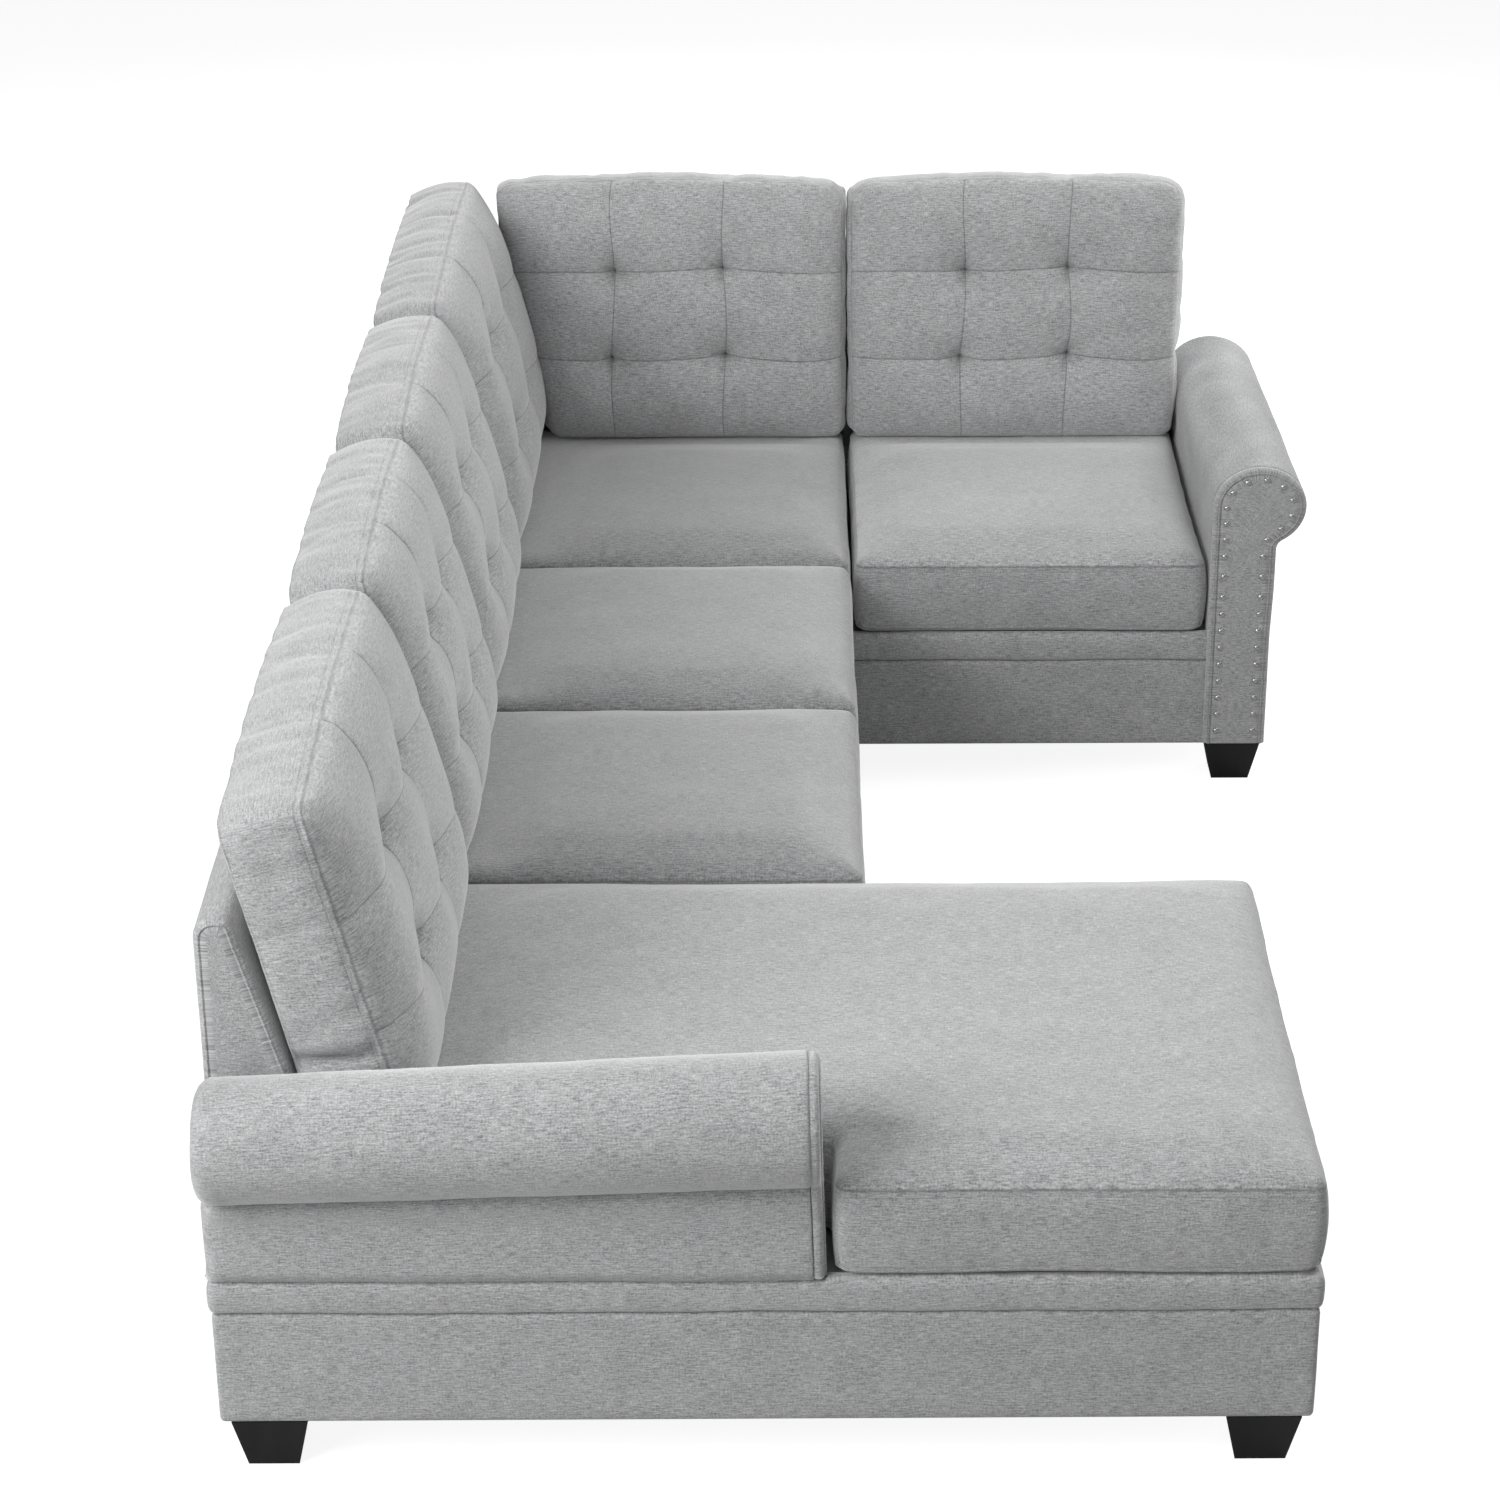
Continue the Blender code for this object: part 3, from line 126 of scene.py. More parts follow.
# Seat cushions before they are filled: the cloth simulation adds the rest of the crown
SEAT_FREE_CROWN = SEAT_CROWN * 0.25
SEAT_TOP_ROUND = 0.045
SEAT_UNDER_ROUND = 0.030
SEAT_UNDER_LIFT = 0.006
SEAT_UNDER_SAG = 0.012
SEAT_CORNER_LIFT = 0.020
SEAT_CORNER_REACH = 0.036
SEAT_CORNER_RADIUS = 0.022
SEAT_DRAW_REACH = 0.045
SEAT_REST_MARGIN = 0.02
SEAT_SWELL_CAP = 0.022
SEAT_SIDE_CAP = 0.010

# Back cushions before they are filled
CUSHION_FREE_CROWN = CUSHION_CROWN * 0.96
LOWER_CORNER_RADIUS = 0.020
UPPER_CORNER_RADIUS = 0.030
LOWER_TUCK = 0.004
TOP_DIP = 0.012
TUFT_BUTTON = 0.005
TUFT_REACH = 0.024
BACK_SWELL_CAP = 0.024

# Sewing, and how far cloth may stand past its part's box
WELT_RISE = 0.0013
PUCKER_REACH = 0.020
SOFT_RIPPLE = 0.0018
NIP_DEPTH = 0.009
HIGH_ROOM = 0.0012
TOP_ROOM = 0.008

# Lamps: turn and rise in degrees, and power
LAMPS = (
    (135, 30, 200.0), (-45, 8, 110.0), (-45, 55, 82.0), (0, 30, 64.0), (-90, 55, 66.0),
    (180, 55, 34.0), (180, 8, 20.0), (90, 30, 16.0), (-90, 8, 14.0),
)
LAMP_DISTANCE = 5.5
LAMP_TARGET = (0.0, 0.0, 0.4)
LOW_LAMP_SIDE, LAMP_SIDE = 2.2, 3.2
FLOOR_REACH = 30.0
FLOOR_GLOW = 0.90
ROOM_LIGHT = 0.01


def lines(low, high, step, marks=()):
    """Places from low to high about a step apart, with every mark among them."""
    stops = sorted({low, high, *[m for m in marks if low < m < high]})
    out = [low]
    for a, b in zip(stops, stops[1:]):
        count = max(1, round((b - a) / step))
        out += [a + (b - a) * k / count for k in range(1, count + 1)]
    return np.array(out)


def wobble(points, scale, seed):
    """Smooth noise between -1 and 1 at each point."""
    shift = Vector((seed * 7.31, seed * 3.17, seed * 5.77))
    return np.array([noise.noise(Vector(p) * scale + shift) for p in points])


def bell(distance, width):
    """One at no distance, falling away smoothly over about the width."""
    return np.exp(-((distance / width) ** 2))


def run_along(points):
    """Distances along a row of points from its first."""
    return np.concatenate([[0], np.cumsum(np.linalg.norm(np.diff(points, axis=0), axis=1))])


def paint(mesh, name, values):
    """Write a number for each point of a mesh, for its material to read."""
    attribute = mesh.attributes.new(name, "FLOAT", "POINT")
    attribute.data.foreach_set("value", values.astype(np.float32))


def new_piece(name, verts, faces, uvs, seam=FAR_FROM_SEAM, stitch=FAR_FROM_SEAM):
    """A mesh object with cloth coordinates in metres, and distances from seams and stitches."""
    mesh = bpy.data.meshes.new(name)
    mesh.from_pydata([tuple(map(float, v)) for v in verts], [], faces)
    offset = 0.37 * len(bpy.data.meshes)
    layer = mesh.uv_layers.new(name="cloth")
    layer.data.foreach_set("uv", (np.asarray(uvs, np.float32) + offset).ravel())
    far = np.full(len(verts), FAR_FROM_SEAM)
    paint(mesh, "seam_distance", np.minimum(seam, far))
    paint(mesh, "stitch_distance", np.minimum(stitch, far))
    bm = bmesh.new()
    bm.from_mesh(mesh)
    bmesh.ops.recalc_face_normals(bm, faces=bm.faces)
    bm.to_mesh(mesh)
    bm.free()
    mesh.shade_smooth()
    obj = bpy.data.objects.new(name, mesh)
    SCENE.collection.objects.link(obj)
    return obj


def lattice(xs, ys, zs, level_axes, keep=None):
    """The closed surface of a box of cells. keep leaves out cells in plan.

    Returns rest places, faces, and the two cloth coordinates of each face corner. level_axes
    says which two axes those are on the level faces.
    """
    nx, ny, nz = len(xs) - 1, len(ys) - 1, len(zs) - 1
    kept = np.ones((nx, ny), bool) if keep is None else keep
    index, places, faces, uvs = {}, [], [], []

    def point(i, j, k):
        if (i, j, k) not in index:
            index[i, j, k] = len(places)
            places.append((xs[i], ys[j], zs[k]))
        return index[i, j, k]

    def add(corners, first, second):
        face = [point(*c) for c in corners]
        faces.append(face)
        uvs.extend((places[v][first], places[v][second]) for v in face)

    for i in range(nx):
        for j in range(ny):
            if not kept[i, j]:
                continue
            for k in (0, nz):
                add([(i, j, k), (i + 1, j, k), (i + 1, j + 1, k), (i, j + 1, k)], *level_axes)
            for beside, a, b, first in (
                ((i - 1, j), (i, j), (i, j + 1), 1),
                ((i + 1, j), (i + 1, j), (i + 1, j + 1), 1),
                ((i, j - 1), (i, j), (i + 1, j), 0),
                ((i, j + 1), (i, j + 1), (i + 1, j + 1), 0),
            ):
                if 0 <= beside[0] < nx and 0 <= beside[1] < ny and kept[beside]:
                    continue
                for k in range(nz):
                    add([(*a, k), (*b, k), (*b, k + 1), (*a, k + 1)], first, 2)
    return np.array(places), faces, uvs


def round_rise(distance, radius):
    """A quarter-round rise from zero at an edge to one at the radius."""
    share = np.clip(distance / radius, 0, 1)
    return np.sqrt(1 - (1 - share) ** 2)


def round_corner(off_x, off_y, radius):
    """Distances from two sides, moved so that square rings round a corner become round ones."""
    short_x, short_y = radius - off_x, radius - off_y
    both = np.minimum(short_x, short_y) > 0
    length = np.maximum(np.hypot(short_x, short_y), EPS)
    scale = np.where(both, np.maximum(short_x, short_y) / length, 1)
    return (
        np.where(both, radius - short_x * scale, off_x),
        np.where(both, radius - short_y * scale, off_y),
    )


def shade(obj, values):
    """Darken the cloth at each point with painted shade: in tuft pinches and creases, and all over
    some pieces.
    """
    paint(obj.data, "shade", np.clip(values, 0, 1))


def welt(rim, seam):
    """How far sewing raises each point: a welt on the rim, and a groove beside it."""
    beside = (seam > EDGE_MARKS[0] - 0.0005) & (seam < EDGE_MARKS[0] + 0.0005)
    return np.where(beside, -0.8, np.where(rim, 1.0, 0.0))


# Cushions to fill. Of their points, an entry says: hold, how firmly they stay; cap, how far they
# may swell; even, how much they follow their neighbours in each of the rounds; ridge, how far
# sewing raises them; free, which touch nothing; boxing, fold and nip, the creases in the sides;
# room, how far they may stand past their part's box in X and Y.
CUSHIONS = []


def seat_cushion(node, turn=False, notch=None, rest_right=0.0, painted_shade=0.0):
    """A boxed seat cushion in the box of its part, crowned, ready to be filled.

    turn lays its width along Y. notch is the size of the corner that an arm takes, rest_right
    the width of the strip at the right that a back cushion stands on, and the last argument
    how much painted shade darkens the whole cushion.
    """
    low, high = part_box(node)
    width, depth = high.x - low.x, high.y - low.y
    place = Matrix.Translation((low.x, high.y, SEAT_LEVEL))
    if turn:
        width, depth = depth, width
        place = Matrix.Translation((high.x, high.y, SEAT_LEVEL)) @ QUARTER_TURN
    wide, deep = notch or (0.0, 0.0)
    x_marks = [*EDGE_MARKS, *(width - m for m in EDGE_MARKS)]
    y_marks = [*(-m for m in EDGE_MARKS), *(m - depth for m in EDGE_MARKS)]
    if notch:
        x_marks += [wide - STITCH_OFFSET, wide, *(wide + m for m in EDGE_MARKS)]
        y_marks += [-deep, *(-deep - m for m in EDGE_MARKS), -deep + STITCH_OFFSET]
    z_marks = (*EDGE_MARKS[:3], *(SEAT_BOXING - m for m in EDGE_MARKS[:3]))
    xs = lines(0.0, width, SEAT_STEP, x_marks)
    ys = lines(-depth, 0.0, SEAT_STEP, y_marks)
    zs = lines(0.0, SEAT_BOXING, SEAT_STEP, z_marks)
    mid_x, mid_y = (xs[1:] + xs[:-1]) / 2, (ys[1:] + ys[:-1]) / 2
    keep = ~((mid_x[:, None] < wide) & (mid_y > -deep))
    rest, faces, uvs = lattice(xs, ys, zs, (0, 1) if turn else (1, 0), keep)
    x, y, z = rest.T
    left = np.where(y > EPS - deep, wide, 0.0)
    rear = np.where(x < wide - EPS, -deep, 0.0)
    off_x = np.minimum(x - left, width - x)
    off_y = np.minimum(y + depth, rear - y)
    edge = np.minimum(off_x, off_y)
    if notch:
        edge = np.minimum(edge, np.hypot(np.maximum(x - wide, 0), np.maximum(-deep - y, 0)))
    top, bottom = z > SEAT_BOXING - EPS, z < EPS
    side = ~top & ~bottom
    rim = (edge < EPS) & ~side
    up = z / SEAT_BOXING

    # The top: domed where nothing rests on it, and rounded off to its edges
    ahead = (-SEAT_STRIP - y) / (depth - SEAT_STRIP)
    across = x / (width - rest_right)
    inside = (ahead > 0) & (ahead < 1) & (across > 0) & (across < 1)
    dome = np.sin(np.pi * np.clip(ahead, 0, 1)) ** 0.6
    dome = dome * (1 - (2 * np.clip(across, 0, 1) - 1) ** 4)
    crown = SEAT_REST_RISE + np.where(inside, SEAT_FREE_CROWN * dome, 0)
    new_z = np.where(top, SEAT_BOXING + crown * round_rise(edge, SEAT_TOP_ROUND), z)

    # The underside: its edges curl up, more in some places, and its corners lift
    curl = 1 - round_rise(edge, SEAT_UNDER_ROUND)
    sag = np.clip(wobble(np.stack([x, y, 0 * z], 1), 3.4, len(node) + width) + 0.15, 0, 1)
    lift = SEAT_UNDER_LIFT + SEAT_UNDER_SAG * sag
    new_z = np.where(bottom, lift * curl, new_z)
    new_z = np.where(side, z + lift * (1 - up), new_z)
    corner_lift = SEAT_CORNER_LIFT * (1 - round_rise(np.maximum(off_x, off_y), SEAT_CORNER_REACH))
    corner_lift *= np.where(bottom, curl, (1 - up) ** 2)
    new_z = np.where(top, new_z, new_z + corner_lift)

    # The sides: drawn in along the sewn edges and between the corners
    middle = 1 - (2 * up - 1) ** 2
    draw = 0.005 - 0.004 * middle
    draw_x = draw + 0.003 * np.abs(np.sin(np.pi * y / depth))
    draw_y = draw + 0.002 * np.abs(np.sin(np.pi * x / width))
    pull_x = np.clip(1 - off_x / SEAT_DRAW_REACH, 0, 1) * draw_x
    pull_y = np.clip(1 - off_y / SEAT_DRAW_REACH, 0, 1) * draw_y
    round_x, round_y = round_corner(off_x, off_y, SEAT_CORNER_RADIUS)
    at_left = off_x >= x - left - EPS
    at_front = off_y >= y + depth - EPS
    new_x = np.where(at_left, left + round_x + pull_x, width - round_x - pull_x)
    new_y = np.where(at_front, round_y + pull_y - depth, rear - round_y - pull_y)

    height_off = np.minimum(SEAT_BOXING - z, z)
    seam = np.where(side, height_off, edge)
    stitch = np.where(side | rim, np.abs(height_off - STITCH_OFFSET), FAR_FROM_SEAM)
    points = np.stack([new_x, new_y, new_z], 1)
    obj = new_piece(node + "_cloth", points, faces, uvs, seam, stitch)
    # Painted shade, even over the whole cushion.
    shade(obj, np.full(len(rest), painted_shade))
    off_rest = -SEAT_STRIP - y
    if rest_right:
        off_rest = np.minimum(off_rest, width - rest_right - x)
    rested = top & (off_rest < SEAT_REST_MARGIN)
    swell = SEAT_SWELL_CAP * round_rise(np.clip(np.minimum(edge, off_rest), 0, 1), 0.20)
    CUSHIONS.append({
        "obj": obj, "place": place, "limits": (low, high), "seam": seam, "ridge": welt(rim, seam),
        "hold": np.select([bottom | rested, rim, side], [1.0, 0.75, 0.08], 0.02),
        "cap": np.where(top, swell, SEAT_SIDE_CAP), "free": ~(bottom | rested),
        "even": np.select([rim, bottom], [0.3, 0.0], 1.0), "rounds": 16, "shrink": -0.012,
        "pucker": 0.0012, "boxing": np.where(side, 0.0022, 0.0), "fold": (1.0, 1.0, 0.35),
        "nip": 0.0, "room": (0.0008, 0.0008),
    })
    return obj


def back_cushion(node, origin, width, far=False, slant=0.0, flare=0.0, press=0.0,
                 corner=UPPER_CORNER_RADIUS, tuck=LOWER_TUCK, swell=(0.0, 0.0), crease_at=0.0):
    """A tufted back cushion leaning on a back, ready to be filled.

    far turns it to face the near end. slant takes its left side in below, press pushes it out,
    and flare widens the right side above. corner rounds the upper corners, tuck lifts the lower
    left one, swell fills the two sides, and crease_at is how high a crease crosses the left end.
    """
    height, deep = CUSHION_HEIGHT, CUSHION_BOXING
    x_marks = [*EDGE_MARKS, *(width - m for m in EDGE_MARKS)]
    z_marks = [*EDGE_MARKS, *(height - m for m in EDGE_MARKS)]
    x_marks += [share * width + off for share in TUFT_COLUMNS for off in TUFT_MARKS]
    z_marks += [share * height + off for share in TUFT_ROWS for off in TUFT_MARKS]
    y_marks = (*(m - deep for m in EDGE_MARKS[:3]), *(-m for m in EDGE_MARKS[:3]))
    xs = lines(0.0, width, BACK_STEP, x_marks)
    ys = lines(-deep, 0.0, BACK_STEP, y_marks)
    zs = lines(0.0, height, BACK_STEP, z_marks)
    rest, faces, uvs = lattice(xs, ys, zs, (0, 1))
    x0, y0, z0 = rest.T
    across, up, out = x0 / width, z0 / height, -y0 / deep
    at_left, inward = across < 0.5, 1 - 2 * across
    front, behind, foot = out > 1 - EPS, out < EPS, z0 < EPS
    facing = front | behind
    middle = 1 - (2 * out - 1) ** 2
    off_x = np.minimum(x0, width - x0)

    # The outline: rounded corners, sides drawn in, the top dipped and the lower corners lifted
    upper_x, upper_z = round_corner(off_x, height - z0, corner)
    lower_x, lower_z = round_corner(off_x, z0, LOWER_CORNER_RADIUS)
    lower = z0 < height / 2
    round_x = np.where(lower, lower_x, upper_x)
    low_corner = (1 - round_rise(off_x, 0.05)) * (1 - up) ** 8
    tucked = np.where(at_left, tuck, min(tuck, LOWER_TUCK)) * low_corner
    x = np.where(at_left, round_x, width - round_x)
    x += inward * (0.008 * (1 - middle) + 0.001)
    side_push = np.where(at_left, *swell) * (1 - round_rise(off_x, 0.020))
    x -= inward * side_push * middle
    x += inward * 0.4 * tucked
    z = np.where(lower, lower_z, height - upper_z) - up ** 6 * (0.006 * (1 - middle) + 0.002)
    z = z + (np.sin(np.pi * across) - 1) * TOP_DIP * up + tucked

    # The face: crowned, with tufts, small folds round them, and sewn lines through them
    columns, rows = np.array(TUFT_COLUMNS) * width, np.array(TUFT_ROWS) * height
    from_col = x0 - columns[np.abs(x0[:, None] - columns).argmin(1)]
    from_row = z0 - rows[np.abs(z0[:, None] - rows).argmin(1)]
    off_col, off_row = np.abs(from_col), np.abs(from_row)
    away = np.hypot(off_col, off_row)
    folds = np.cos(4 * np.arctan2(from_row, from_col) + 0.9) * bell(away - 0.019, 0.012)
    full_x, full_z = (np.clip(1 - np.abs(2 * share - 1) ** 5, 0, 1) for share in (across, up))
    fullness = np.sqrt(full_x * full_z)
    valley = 0.0015 * bell(off_col, 0.020) + 0.0035 * bell(off_row, 0.020)
    tuft = 0.015 * bell(away, 0.036) + 0.024 * np.exp(-away / 0.011) + 0.0034 * folds
    bulge = CUSHION_FREE_CROWN * fullness - np.clip(1.4 * fullness, 0, 1) * (valley + tuft)
    depth = out * deep + np.where(front, bulge, 0)
    rear_edge = np.minimum(off_x, height - z0)
    depth += np.where(behind, 0.012 * (1 - round_rise(rear_edge, 0.05)) * up, 0)

    # The lean on a level seat, and the uneven fill
    lowest = -depth * math.tan(CUSHION_LEAN)
    z = lowest + (z / height) * (height - lowest)
    x = x + slant * (1 - up) * np.clip(1 - across / TUFT_COLUMNS[0], 0, 1) + flare * across * up
    x += front * fullness * 0.0045 * np.sin(9.0 * up + 5.0 * across + width)
    z += front * fullness * 0.0030 * np.sin(11.0 * across + width)
    x -= press * (1 - round_rise(across, 0.25)) * (0.5 + 0.5 * middle) * (1 - 0.6 * up ** 4)

    edge_face = np.minimum(off_x, np.minimum(height - z0, z0))
    edge_side = np.minimum(-y0, deep + y0)
    edge_seam = np.where(facing, edge_face, edge_side)
    channel = np.minimum(off_col, off_row)
    seam = np.where(front & (channel < edge_seam), channel, edge_seam)
    seam = np.where(front & (away < EDGE_MARKS[0]), 0, seam)
    rim = facing & (edge_face < EPS)
    stitch = np.where(~facing | rim, np.abs(edge_side - STITCH_OFFSET), FAR_FROM_SEAM)
    points = np.stack([x, -depth, z], 1)
    obj = new_piece(node + "_cloth", points, faces, uvs, seam, stitch)
    # Painted shade in the tuft pits and along their folds, and in the crease that crosses the left
    # end.
    painted_pinch_shade = bell(away, 0.0060) + 0.45 * np.clip(folds, 0, 1) * np.exp(-away / 0.03)
    on_end = (off_x < EPS) & at_left & ~facing & (crease_at > 0)
    nip = on_end * bell(z0 - crease_at - 0.10 * out * deep, 0.0075)
    shade(obj, front * painted_pinch_shade + 0.9 * nip)
    ridge = np.where(front & (channel < EPS) & (edge_seam > 0.012), -0.9, welt(rim, edge_seam))
    fixed = behind | foot
    held = fixed | (front & (away < TUFT_BUTTON))
    sewn = front & (channel < 0.003)
    turn = QUARTER_TURN if far else Matrix.Identity(4)
    CUSHIONS.append({
        "obj": obj, "limits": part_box(node), "seam": edge_seam, "ridge": ridge,
        "place": Matrix.Translation(origin) @ turn @ Matrix.Rotation(-CUSHION_LEAN, 4, "X"),
        "hold": np.select([held, rim, sewn, facing], [1.0, 0.6, 0.05, 0.02], 0.06),
        "cap": BACK_SWELL_CAP, "free": ~fixed,
        "even": np.select([fixed | (front & (away < TUFT_REACH)), rim], [0.0, 0.3], 1.0),
        "rounds": 10, "shrink": -0.03, "pucker": 0.0022, "nip": nip,
        "boxing": np.where(facing, 0.0, 0.0055), "fold": (1.0, 0.25, 1.0),
        "room": (0.009, 0.0012) if far else (0.0008, 0.009),
    })
    return obj


def evened(mesh, values, share, rounds):
    """Values of a mesh's points, averaged with their neighbours by each point's share."""
    ends = np.zeros(len(mesh.edges) * 2, int)
    mesh.edges.foreach_get("vertices", ends)
    one, two = ends.reshape(-1, 2).T
    count = np.bincount(ends, minlength=len(values))[:, None]
    for _ in range(rounds):
        total = np.zeros_like(values)
        for axis in range(3):
            total[:, axis] = np.bincount(one, values[two, axis], len(values))
            total[:, axis] += np.bincount(two, values[one, axis], len(values))
        values = values + share[:, None] * 0.7 * (total / count - values)
    return values


def fill_cushions():
    """Fill every cushion with the cloth simulation, cap how far it swells, and apply it."""
    for item in CUSHIONS:
        obj = item["obj"]
        item["start"] = np.array([v.co for v in obj.data.vertices])
        group = obj.vertex_groups.new(name="hold")
        for number, weight in enumerate(item["hold"]):
            group.add([number], float(weight), "REPLACE")
        cloth = obj.modifiers.new("fill", "CLOTH")
        settings = cloth.settings
        for key, value in CLOTH.items():
            setattr(settings, key, value)
        settings.shrink_min = item["shrink"]
        settings.effector_weights.gravity = 0
        cloth.collision_settings.use_collision = False
        cloth.collision_settings.use_self_collision = False
        cloth.point_cache.frame_start = 1
        cloth.point_cache.frame_end = SIM_FRAMES
    for number in range(1, SIM_FRAMES + 1):
        SCENE.frame_set(number)
    graph = bpy.context.evaluated_depsgraph_get()
    for item in CUSHIONS:
        obj = item["obj"]
        filled = obj.evaluated_get(graph)
        mesh = filled.to_mesh()
        found = np.zeros(len(mesh.vertices) * 3)
        mesh.vertices.foreach_get("co", found)
        filled.to_mesh_clear()
        moved = evened(obj.data, found.reshape(-1, 3) - item["start"], item["even"], item["rounds"])
        length = np.maximum(np.linalg.norm(moved, axis=1), EPS)
        moved *= np.minimum(1, item["cap"] / length)[:, None]
        obj.modifiers.clear()
        obj.vertex_groups.clear()
        obj.data.vertices.foreach_set("co", (item["start"] + moved).ravel())
        obj.data.update()
    SCENE.frame_set(1)


def finish_cushions():
    """Sew the seams, pucker the cloth beside them, and set each cushion in its part's place."""
    for seed, item in enumerate(CUSHIONS):
        mesh = item["obj"].data
        points = np.array([v.co for v in mesh.vertices])
        normals = np.array([v.normal for v in mesh.vertices])
        beside = np.exp(-item["seam"] / PUCKER_REACH) * item["free"]
        pucker = item["pucker"] * beside * wobble(points, 42.0, seed + 3)
        soft = SOFT_RIPPLE * item["free"] * wobble(points, 10.0, seed + 7)
        folded = np.clip(wobble(points * item["fold"], 34.0, seed + 5) + 0.1, 0, 1)
        creases = item["boxing"] * folded + NIP_DEPTH * item["nip"]
        points += normals * (WELT_RISE * item["ridge"] + pucker + soft)[:, None]
        matrix = np.array(item["place"])
        world = points @ matrix[:3, :3].T + matrix[:3, 3]
        low, high = (np.array(corner) for corner in item["limits"])
        low[:2] -= item["room"]
        high[:2] += np.minimum(item["room"], HIGH_ROOM)
        high[2] += TOP_ROOM
        world = np.clip(world, low, high)
        world -= (normals @ matrix[:3, :3].T) * creases[:, None]
        mesh.vertices.foreach_set("co", world.ravel())
        mesh.update()
        smooth = item["obj"].modifiers.new("smooth", "SUBSURF")
        smooth.levels = 1
        smooth.render_levels = 1


def unit(rows):
    """Each row as a vector of length one."""
    return rows / np.maximum(np.linalg.norm(rows, axis=1), EPS)[:, None]


def outline_normals(outline):
    """Outward directions at the points of a closed outline that runs anticlockwise."""
    along = unit(np.roll(outline, -1, 0) - outline) + unit(outline - np.roll(outline, 1, 0))
    return unit(np.stack([along[:, 1], -along[:, 0]], 1))


def anticlockwise(points):
    """The outline as an array, turned to run anticlockwise."""
    out = np.array(points, float)
    x, y = out.T
    area = np.sum(x * np.roll(y, -1) - np.roll(x, -1) * y)
    return out if area > 0 else out[::-1]


def refine(points, step):
    """Add points to the long sides of a closed outline."""
    out = []
    for a, b in zip(points, np.roll(points, -1, 0)):
        count = max(1, round(np.linalg.norm(b - a) / step))
        out += [a + (b - a) * k / count for k in range(count)]
    return np.array(out)


def bands(levels, path, wrap=False):
    """Faces between copies of a closed path at several levels, and their cloth coordinates."""
    around, count = run_along([*path, path[0]]), len(path)
    faces, uvs = [], []
    for ring in range(len(levels) if wrap else len(levels) - 1):
        above = (ring + 1) % len(levels)
        for k in range(count):
            n = (k + 1) % count
            faces.append([r * count + c for r, c in ((ring, k), (ring, n), (above, n), (above, k))])
            corners = ((ring, k), (ring, k + 1), (above, k + 1), (above, k))
            uvs += [(levels[r], around[c]) for r, c in corners]
    return faces, uvs


def skin(name, outline, rings, place, seam_of=None, ripple=0.0008, seed=1, foot=None, crease=None):
    """A closed skin through an outline at several stations.

    Each ring is a station and how far it lies inside the outline. place turns a spot of the
    outline and a station into a point, and seam_of gives a ring's distance from a sewn line.
    No point goes below the foot, and without one the underside stays level. crease is the spot
    of the outline where a sewn line runs along the piece.
    """
    normals = outline_normals(outline)
    off_crease = np.full(len(outline), FAR_FROM_SEAM)
    if crease is not None:
        off_crease = np.linalg.norm(outline - crease, axis=1)
    underside = outline[:, 1] < EPS
    verts, seam = [], []
    for number, (station, inset) in enumerate(rings):
        inner = outline - normals * inset
        if foot is None:
            inner[underside, 1] = outline[underside, 1]
        else:
            inner[:, 1] = np.maximum(inner[:, 1], foot)
        verts += [place(a, b, station) for a, b in inner]
        seam += list(np.minimum(off_crease, seam_of(number) if seam_of else FAR_FROM_SEAM))
    faces, uvs = bands([station for station, _ in rings], outline)
    for ring in (0, len(rings) - 1):
        faces.append([ring * len(outline) + k for k in range(len(outline))])
        uvs += [tuple(p) for p in outline]
    verts = np.array(verts)
    obj = new_piece(name, verts, faces, uvs, seam)
    if ripple:
        directions = np.array([v.normal for v in obj.data.vertices])
        amount = ripple * (wobble(verts, 7.0, seed) + 0.5 * wobble(verts, 22.0, seed + 1))
        obj.data.vertices.foreach_set("co", (verts + directions * amount[:, None]).ravel())
        obj.data.update()
    return obj


def end_rings(length, step):
    """Stations of a skin with rounded ends that have a welt inside their edge."""
    nose = [(0.0010, 0.020), (0.0010, 0.0115), (0.0026, 0.0098), (0.0008, 0.0088),
            (0.0, 0.0076), (0.0010, 0.0064), (0.0034, 0.0054), (0.0038, 0.0036),
            (0.0062, 0.0016), (0.0105, 0.0)]
    welt_rings = (2, 6)
    inner = lines(nose[-1][0], length - nose[-1][0], step)
    rings = nose + [(t, 0.0) for t in inner[1:-1]]
    rings += [(length - t, inset) for t, inset in reversed(nose)]
    last = len(rings) - 1
    return rings, lambda ring: 0.0 if min(ring, last - ring) in welt_rings else FAR_FROM_SEAM


def arc(centre, radius, start, end, steps):
    """Points round an arc, both ends included."""
    angles = np.linspace(start, end, steps + 1)
    return [(centre[0] + radius * math.cos(a), centre[1] + radius * math.sin(a)) for a in angles]


def back_outline():
    """Section of a back: upright outside, leaning front and a rounded top."""
    lean = math.atan((BACK_BASE_THICKNESS - BACK_TOP_THICKNESS) / BACK_RISE)
    outer_radius, inner_radius = 0.030, 0.017
    outer = arc((outer_radius, BACK_RISE - outer_radius), outer_radius, math.pi, math.pi / 2, 7)
    reach = inner_radius * math.tan((math.pi / 2 - lean) / 2)
    centre = (BACK_TOP_THICKNESS - reach, BACK_RISE - inner_radius)
    inner = arc(centre, inner_radius, math.pi / 2, lean, 6)
    return refine(anticlockwise([(0, 0), *outer, *inner, (BACK_BASE_THICKNESS, 0)]), 0.03)


